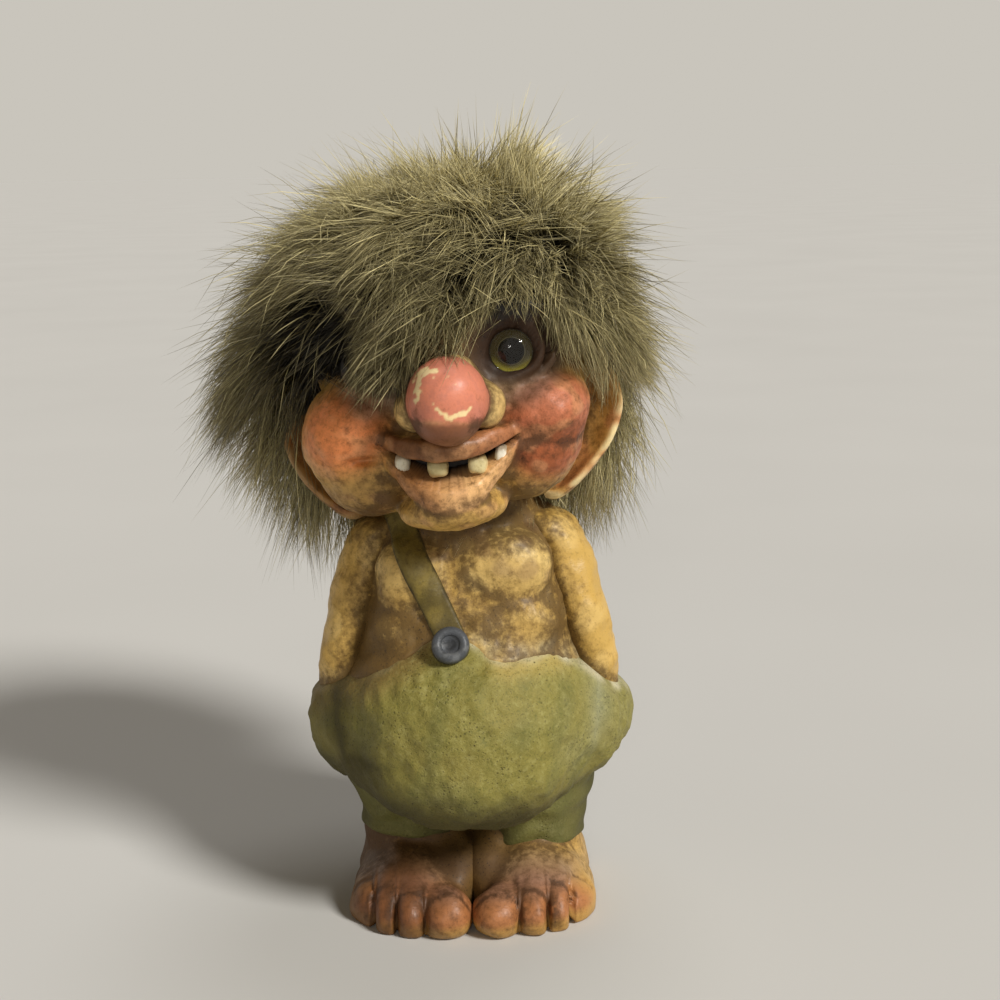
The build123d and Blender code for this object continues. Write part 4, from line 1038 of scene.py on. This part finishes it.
wire, bench, shader = new_finish("bright_wire", Metallic=1.0)
draw_lines = bench.place().noise(4000.0)
draw_lines.between(WIRE_DARK, WIRE_LIGHT).into(shader, "Base Color")
(0.25 + draw_lines * 0.2).into(shader, "Roughness")

cork, bench, shader = new_finish("pressed_cork", Specular_IOR_Level=0.2)
place = bench.place()
granule = bench.node("TexVoronoi", (), {"Vector": place, "Scale": 700.0}, "Distance")
bark = place.noise(900.0, 4.0)
colour = bark.between(CORK_BROWN, CORK_TAN)
colour.mix(CORK_PORE, granule.step(0.55, 0.8)).into(shader, "Base Color")
(0.75 + bark * 0.2).into(shader, "Roughness")
(bark - granule).emboss(shader, 0.4, 0.0004)

backing, bench, shader = new_finish("woven_wig_backing", Roughness=0.92, Specular_IOR_Level=0.1)
sockets = {"Vector": bench.place(), "Scale": 340.0, "Distortion": 1.0}
warp, weft = [bench.node("TexWave", {"bands_direction": way}, sockets) for way in ("X", "Z")]
weave = warp * 0.5 + weft * 0.5
weave.between(BACKING_DARK, BACKING_LIGHT).into(shader, "Base Color")
weave.emboss(shader, 0.5, 0.0004)

for node, finish in (
    ("left_eye_pin", wire),
    ("right_eye_pin", wire),
    ("crown_plug", cork),
    ("wig_cap", backing),
):
    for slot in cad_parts[node].material_slots:
        slot.material = finish

# Fur. A wig of long-pile mohair-like fur, rooted in the backing and combed from a whorl behind the crown:
# over the forehead to the figure's right, out at the sides, down the nape, and up in one loose tuft.
PILE_SEED = 7
GUARD_HAIRS, UNDER_HAIRS = 36000, 26000
LOCKS, WISPS, PILE_STEPS = 240, 1900, 13
LEFT_LIMIT, RIGHT_LIMIT, BACK_LIMIT, TOP_LIMIT, LOW_LIMIT = 51.0, -63.5, 60.0, 176.0, 64.0
HAIRLINE_TURN = np.radians([0.0, 45.0, 70.0, 88.0, 100.0, 112.0, 180.0])
HAIRLINE_RISE = (0.36, 0.34, 0.22, 0.0, -0.45, -0.85, -0.92)
TEMPLE_BACK, TEMPLE_FRONT, TEMPLE_DIP = np.radians([-84.0, -70.0]), np.radians([-5.0, -15.0]), 0.46
FRINGE_X = (-40.0, -31.0, -25.0, -18.0, -6.0, 0.0, 4.0, 9.0, 15.0, 22.0, 30.0)
FRINGE_Z = (90.0, 111.0, 118.0, 118.0, 118.0, 121.0, 130.5, 135.0, 133.5, 120.5, 110.0)
WHORL = np.array([0.12, 0.75, 0.65])
TUFT = np.array([0.42, -0.12, 0.90])
FLARE = np.array([0.85, 0.35, -0.35])
FORELOCK = np.array([-0.45, -0.85, 0.35])
SWEEP = np.array([-0.75, -0.35, -0.45])
DOWN = np.array([0.0, 0.0, -1.0])
FRINGE_HALF, SIDE_END, CROWN_RISE, NAPE_RISE = 62.0, 128.0, 0.78, 0.1
HOLLOW_X, HOLLOW_Z, HOLLOW_WIDE, HOLLOW_TALL = -29.0, 126.0, 9.0, 11.0
EAR_LOCK_X, EAR_LOCK_Z = 23.0, 113.0
PILE_OLIVE, PILE_STRAW = srgb(72, 61, 26), srgb(240, 226, 166)
PILE_ROOT_SHADE, PILE_TIP = srgb(24, 18, 8), srgb(240, 226, 176)
# Depth, middle and width of the patches of fur that lie in shade.
SHADED = (
    (1.1, (-0.85, -0.5, -0.05), 0.65),
    (0.5, (-0.1, -0.9, 0.4), 0.65),
    (0.12, (0.8, -0.4, 0.3), 0.5),
    (0.5, (0.65, 0.3, 0.7), 0.5),
)
FUR_MASS = (
    ((-3.5, 4.0, 118.5), (44.0, 48.0, 43.5)),
    ((-26.0, 3.0, 107.0), (30.5, 29.0, 33.0)),
    ((18.0, 3.0, 146.0), (17.0, 17.0, 21.5)),
    ((-2.0, 14.0, 92.0), (44.0, 27.0, 30.0)),
)

scalp_centre, scalp_radii = np.array(SKULL[0]), np.array(SKULL[1]) + 1.2
HELD_OFF = (
    (scalp_centre, scalp_radii - 0.6),
    ((FACE_X - 20.4, -22.5, 107.0), (12.2, 14.0, 13.2)),
    ((FACE_X + 19.8, -22.6, 112.0), (11.4, 13.8, 10.2)),
    (BULB, (8.6, 9.0, 8.6)),
    (CHEST[0], (28.0, 24.0, 32.0)),
)
rng = np.random.default_rng(PILE_SEED)


def fur_edge(points):
    """Distance out of the fur's mass: mop, full side, tuft and nape run together."""
    flat = points.reshape(-1, 3)
    return melt([ellipsoid(flat, *mass) for mass in FUR_MASS], 2.5).reshape(points.shape[:-1])


def scalp(count):
    """Random directions over the scalp: even on a ball, kept above the hairline, which dips at the right
    temple."""
    way = unit(rng.normal(size=(count * 3, 3)))
    turn = np.arctan2(way[:, 0], -way[:, 1])
    line = np.interp(np.abs(turn), HAIRLINE_TURN, HAIRLINE_RISE)
    temple = rise(turn, *TEMPLE_BACK) * rise(turn, *TEMPLE_FRONT)
    return way[way[:, 2] > line - TEMPLE_DIP * temple][:count]


def spot(way, centre, width):
    """A soft round patch of directions about a centre."""
    return bell(np.linalg.norm(way - unit(np.array(centre)), axis=1), width)


def combed(way):
    """The lie of the pile at each root: a starting and an ending direction and a length. The pile runs away
    from the whorl along the scalp, falls a little, sweeps aside over the forehead and stands in the tuft."""
    x, y, z = way.T
    normal = unit(way / scalp_radii)
    along_whorl = unit(normal * (normal @ WHORL)[:, None] - WHORL)
    fall = DOWN - normal * (normal @ DOWN)[:, None]
    sweep = SWEEP - normal * (normal @ SWEEP)[:, None]
    front = rise(-y, 0.05, 0.55) * rise(z, 0.0, 0.3)
    right, left = rise(-x, 0.2, 0.7), rise(x, 0.2, 0.7)
    back, low = rise(y, 0.0, 0.5), rise(-z, -0.2, 0.5)
    tuft, whorl, flare = spot(way, TUFT, 0.26), spot(way, WHORL, 0.35), spot(way, FLARE, 0.5)
    lie = along_whorl * (0.8 - 0.5 * low)[:, None] + fall * (0.35 + 0.5 * low)[:, None]
    lie = unit(lie + sweep * (front * (1.0 - 0.7 * left))[:, None])
    lift = 0.29 + 0.28 * right + 0.02 * left - 0.02 * front + 0.2 * back
    lift = lift + 0.25 * whorl + 0.06 * rise(z, 0.6, 0.95)
    lift = lift + (0.75 - lift) * tuft
    start = unit(normal * lift[:, None] + lie * (1.0 - lift)[:, None])
    start = unit(start + (np.array([0.15, 0.05, 1.0]) - start) * (0.6 * tuft)[:, None])
    start = unit(start + np.array([0.6, 0.1, -0.2]) * flare[:, None])
    droop = (0.28 + 0.02 * right + 0.12 * left + 0.1 * back + 0.25 * low) * (1.0 - tuft)
    end = unit(start * 0.6 + lie * 0.5 + DOWN * droop[:, None])
    length = 28.0 + 8.0 * right + 1.0 * left + 4.0 * front + 2.0 * back + 5.0 * low * (1.0 - front)
    length = length + 4.0 * tuft + 6.0 * flare + 4.0 * spot(way, FORELOCK, 0.5)
    return start, end, length


def nearest_of(way, hearts):
    """The number of the heart whose direction is nearest to each root's."""
    return np.concatenate([np.argmax(part @ hearts.T, axis=1) for part in np.array_split(way, 40)])


lock, wisp = scalp(LOCKS), scalp(WISPS)
wisp_lean = rng.normal(size=(len(wisp), 3)) * 0.36
wisp_lean = wisp_lean + (rng.normal(size=(len(lock), 3)) * 0.28)[nearest_of(wisp, lock)]
wisp_start, wisp_end, wisp_length = combed(wisp)
wisp_length = wisp_length * rng.normal(1.0, 0.16, len(wisp))
wisp_middle = unit(wisp_start + 0.7 * wisp_lean) + unit(wisp_end + wisp_lean)
wisp_tip = wisp * scalp_radii + wisp_middle * wisp_length[:, None] / 2
wisp_tone = rng.uniform(0.0, 1.0, len(wisp))
wisp_slack = rng.normal(0.0, 1.6, len(wisp))


def pile(count, reach, wild):
    """Hairs as points along curves: each leaves its root in the starting direction and bends to the ending
    one, its tip is drawn towards the tip of the nearest wisp, and a sine bends it a little. Strays keep to
    no wisp's tip."""
    way = scalp(count)
    start, end, _ = combed(way)
    nearest = nearest_of(way, wisp)
    stray = rng.uniform(size=len(way)) < 0.09
    jitter = rng.normal(size=(len(way), 3)) * np.where(stray, 0.5, wild)[:, None] + wisp_lean[nearest]
    start, end = unit(start + jitter * 0.7), unit(end + jitter)
    length = wisp_length[nearest] * reach * np.clip(rng.normal(1.0, 0.13, len(way)), 0.55, 1.4)
    root = way * scalp_radii
    along = np.linspace(0.0, 1.0, PILE_STEPS)[None, :, None]
    hair = length[:, None, None] * along * (start[:, None] * (1.0 - along * 0.5) + end[:, None] * along * 0.5)
    pull = (wisp_tip[nearest] - root - hair[:, -1]) * np.where(stray, 0.0, 0.62 * reach)[:, None]
    hair = root[:, None] + hair + pull[:, None] * along**1.6
    kink = unit(rng.normal(size=(len(way), 3))) * rng.uniform(0.2, 1.3, (len(way), 1))
    swing = np.sin(2 * np.pi * (along * 0.9 + rng.uniform(size=(len(way), 1, 1)))) * along
    slack = wisp_slack[nearest] + rng.normal(0.4, 1.2, len(way))
    slack = slack + np.where(rng.uniform(size=len(way)) < 0.09, rng.uniform(2.0, 12.0, len(way)), 0.0)
    return way, nearest, hair + kink[:, None] * swing + scalp_centre, slack


def settled(hair):
    """Hairs with their points inside the scalp, cheeks, nose or chest moved out to its face."""
    for centre, radii in HELD_OFF:
        radius = np.linalg.norm((hair - centre) / radii, axis=-1, keepdims=True)
        hair = np.where(radius < 1.0, centre + (hair - centre) / np.maximum(radius, 1e-6), hair)
    return hair


def trimmed(hair, slack, steps):
    """Each hair drawn back along its own length until it is above the fringe line, out of the hollow at the
    temple and inside the fur's mass. Gives the shorter hairs and the share of each that is left."""
    x, y, z = np.moveaxis(hair, -1, 0)
    ragged = rng.normal(0.0, 2.2, len(hair))[:, None]
    crossing = rng.uniform(size=(len(hair), 1)) < 0.035
    hollow = np.hypot((x - HOLLOW_X) / HOLLOW_WIDE, (z - HOLLOW_Z) / HOLLOW_TALL) + 0.06 * ragged
    low = (z < np.interp(x, FRINGE_X, FRINGE_Z) + ragged) & (y < -14.0)
    low = low | ((hollow < 1.0) & (y < -8.0) & ~crossing)
    low = low | ((x > EAR_LOCK_X) & (z < EAR_LOCK_Z + ragged) & (y < -3.0))
    out = (x > LEFT_LIMIT) | (x < RIGHT_LIMIT) | (y > BACK_LIMIT) | (z > TOP_LIMIT) | (z < LOW_LIMIT)
    gone = low | out | (fur_edge(hair) > slack[:, None])
    gone[:, :2] = False
    first = np.where(gone.any(1), gone.argmax(1), PILE_STEPS)
    keep = np.clip((first - 0.5) / (PILE_STEPS - 1), 0.0, 1.0)
    place = np.linspace(0.0, 1.0, steps)[None] * keep[:, None] * (PILE_STEPS - 1)
    whole = np.clip(place.astype(int), 0, PILE_STEPS - 2)
    part = (place - whole)[..., None]
    pick = np.arange(len(hair))[:, None]
    return hair[pick, whole] * (1.0 - part) + hair[pick, whole + 1] * part, keep


def strands(hair, thick, steps):
    """Three-sided tapering hairs: a triangle round each point of the curve but the last, which is the tip.
    Gives points, faces, each point's height from root to tip, and the points in a hair."""
    course = unit(np.gradient(hair, axis=1))
    side = unit(np.cross(course, np.array([0.31, 0.52, 0.79])))
    other = np.cross(course, side)
    share = np.linspace(0.0, 1.0, steps)
    girth = thick[:, None] * (0.75 + 0.5 * share - 1.05 * share**2)[None]
    spin = np.arange(3) * 2 * np.pi / 3
    ring = np.cos(spin)[:, None, None, None] * side + np.sin(spin)[:, None, None, None] * other
    ring = np.moveaxis(hair + ring * girth[..., None], 0, 2)[:, : steps - 1]
    per_hair = (steps - 1) * 3 + 1
    points = np.concatenate([ring.reshape(len(hair), -1, 3), hair[:, -1:]], 1).reshape(-1, 3)
    row, column = np.mgrid[0 : steps - 2, 0:3]
    here, beside = row * 3 + column, row * 3 + (column + 1) % 3
    quads = np.stack([here, beside, beside + 3, here + 3], -1).reshape(-1, 4)
    last = (steps - 2) * 3
    tips = np.array([[last + k, last + (k + 1) % 3, per_hair - 1] for k in range(3)] + [[2, 1, 0]])
    base = (np.arange(len(hair)) * per_hair)[:, None, None]
    height = np.append(np.repeat(share[:-1], 3), 1.0)
    faces = ((quads + base).reshape(-1, 4), (tips + base).reshape(-1, 3))
    return points, faces, np.tile(height, len(hair)), per_hair


def pile_fibre(name):
    """Mohair-like fibre: the hair's own tone and its height from root to tip, read from its UV map, run from
    nearly black roots, painted shade deep in the pile, through olive brown to straw tips."""
    material, bench, shader = new_finish(name, Specular_IOR_Level=0.45, Roughness=0.4)
    uv = bench.node("UVMap", {"uv_map": "OFBake"})
    tone, height = [bench.node("SeparateXYZ", (), {"Vector": uv}, axis) for axis in ("X", "Y")]
    body = tone.between(PILE_OLIVE, PILE_STRAW)
    colour = body.mix(PILE_ROOT_SHADE, height.step(0.5, 0.06))
    colour = colour.mix(body.mix(PILE_TIP, 0.6), height.step(0.55, 1.0) * (0.3 + tone * 0.7))
    colour.into(shader, "Base Color")
    return material


fibre = pile_fibre("long_pile_fur")
for layer, count, steps, reach, thick, wild in (
    ("guard", GUARD_HAIRS, 5, 1.0, 0.105, 0.2),
    ("under", UNDER_HAIRS, 3, 0.75, 0.1, 0.28),
):
    way, nearest, hair, slack = pile(count, reach, wild)
    hair, keep = trimmed(hair, slack, steps)
    hair = settled(hair)
    # The tone carries painted shade: darker in the shaded patches and on hairs cut short under the others,
    # and lighter on the crown as painted light; a tenth of the hairs keep out of the shade.
    shade = np.clip(sum(depth * spot(way, centre, width) for depth, centre, width in SHADED), 0.0, 0.9)
    shade = np.where(rng.uniform(size=len(hair)) < 0.1, 0.0, shade)
    tone = 0.34 * wisp_tone[nearest] + 0.85 * rng.uniform(0.0, 1.0, len(hair)) ** 2.3
    tone = tone * (1.0 - 0.8 * shade) + 0.12 * rise(way[:, 2], 0.6, 0.95)
    tone = np.clip(tone * rise(keep, 0.15, 0.5), 0.02, 0.98)
    # The dark roots, painted shade, reach further up hairs that are cut short or lie in shade.
    height_out_of_shade = (0.2 + 0.8 * rise(keep, 0.1, 0.5)) * (1.0 - 0.55 * shade)
    girth = thick * (0.55 + 0.5 * tone + rng.uniform(0.0, 0.6, len(hair)))
    turn = np.degrees(np.arctan2(way[:, 0], -way[:, 1]))
    locks = {
        "crown_fur": way[:, 2] > CROWN_RISE,
        "fringe_fur": np.abs(turn) < FRINGE_HALF,
        "left_fur": (turn >= FRINGE_HALF) & (turn < SIDE_END),
        "right_fur": (turn <= -FRINGE_HALF) & (turn > -SIDE_END),
        "back_fur": way[:, 2] > NAPE_RISE,
        "nape_fur": way[:, 2] <= NAPE_RISE,
    }
    taken = np.zeros(len(hair), bool)
    for node, chosen in locks.items():
        chosen = chosen & ~taken
        taken |= chosen
        points, faces, height, per_hair = strands(hair[chosen], girth[chosen], steps)
        height = 0.01 + 0.98 * height * np.repeat(height_out_of_shade[chosen], per_hair)
        piece = add_piece(f"{node}_{layer}", points, faces, fibre)
        add_uv(piece, "OFBake", np.stack([np.repeat(tone[chosen], per_hair), height], -1))
        if layer == "guard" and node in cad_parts:
            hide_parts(node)

# Studio. A plain pale floor under a soft key light from the figure's left, a small front light that catches
# the eyes, a wide fill, a top light and a pale surround.
FLOOR_HALF = 30.0
FLOOR_DARK, FLOOR_LIGHT = (0.62, 0.61, 0.59), (0.67, 0.66, 0.64)
AMBIENT, SURROUND = (0.08, 0.064, 0.04), (0.584, 0.557, 0.502)
LAMPS = (
    ("key", (1.35, -1.2, 1.4), 0.25, 3.1, (1.0, 0.98, 0.93)),
    ("catch", (-0.15, -1.5, 0.5), 0.14, 0.28, (1.0, 0.98, 0.93)),
    ("fill", (-1.5, -1.6, 0.9), 1.2, 0.11, (1.0, 0.86, 0.62)),
    ("top", (0.2, 0.6, 1.9), 0.45, 0.6, (1.0, 1.0, 1.0)),
)
IMAGE_PIXELS, FOCAL_PIXELS, SENSOR_WIDTH = 1000.0, 1592.0, 36.0
CAMERA_PLACE, CAMERA_DOWN, CAMERA_ROLL = (0.0089, -0.340, 0.160), 11.92, 1.1

floor_points = np.array([[-1.0, -1.0, 0.0], [1.0, -1.0, 0.0], [1.0, 1.0, 0.0], [-1.0, 1.0, 0.0]]) * FLOOR_HALF
floor_mesh = bpy.data.meshes.new("floor")
floor_mesh.from_pydata(floor_points.tolist(), [], [(0, 1, 2, 3)])
floor = bpy.data.objects.new("floor", floor_mesh)
bpy.context.scene.collection.objects.link(floor)
pale, bench, shader = new_finish("pale_floor", Roughness=0.9, Specular_IOR_Level=0.0)
bench.place().noise(6.0).between(FLOOR_DARK, FLOOR_LIGHT).into(shader, "Base Color")
floor_mesh.materials.append(pale)

for name, place, spread, strength, tint in LAMPS:
    lamp = bpy.data.lights.new(name, "SUN")
    lamp.angle, lamp.energy, lamp.color = spread, strength, tint
    holder = bpy.data.objects.new(name, lamp)
    holder.location = place
    holder.rotation_mode = "QUATERNION"
    holder.rotation_quaternion = Vector(place).to_track_quat("Z", "Y")
    bpy.context.scene.collection.objects.link(holder)

world = bpy.data.worlds.new("surround")
world.use_nodes = True
bench = Wire(world.node_tree)
seen, mirrored, through = [
    bench.node("LightPath", out=f"Is {ray} Ray") for ray in ("Camera", "Glossy", "Transmission")
]
glow = (seen + mirrored + through).between(AMBIENT, SURROUND)
glow.into(world.node_tree.nodes["Background"], "Color")
bpy.context.scene.world = world

camera = bpy.data.cameras.new("camera")
camera.sensor_width = SENSOR_WIDTH
camera.lens = FOCAL_PIXELS / IMAGE_PIXELS * SENSOR_WIDTH
viewer = bpy.data.objects.new("camera", camera)
viewer.location = CAMERA_PLACE
viewer.rotation_euler = (math.radians(90.0 - CAMERA_DOWN), math.radians(CAMERA_ROLL), 0.0)
bpy.context.scene.collection.objects.link(viewer)
bpy.context.scene.camera = viewer
bpy.context.scene.view_settings.view_transform = "Standard"

bpy.context.view_layer.update()
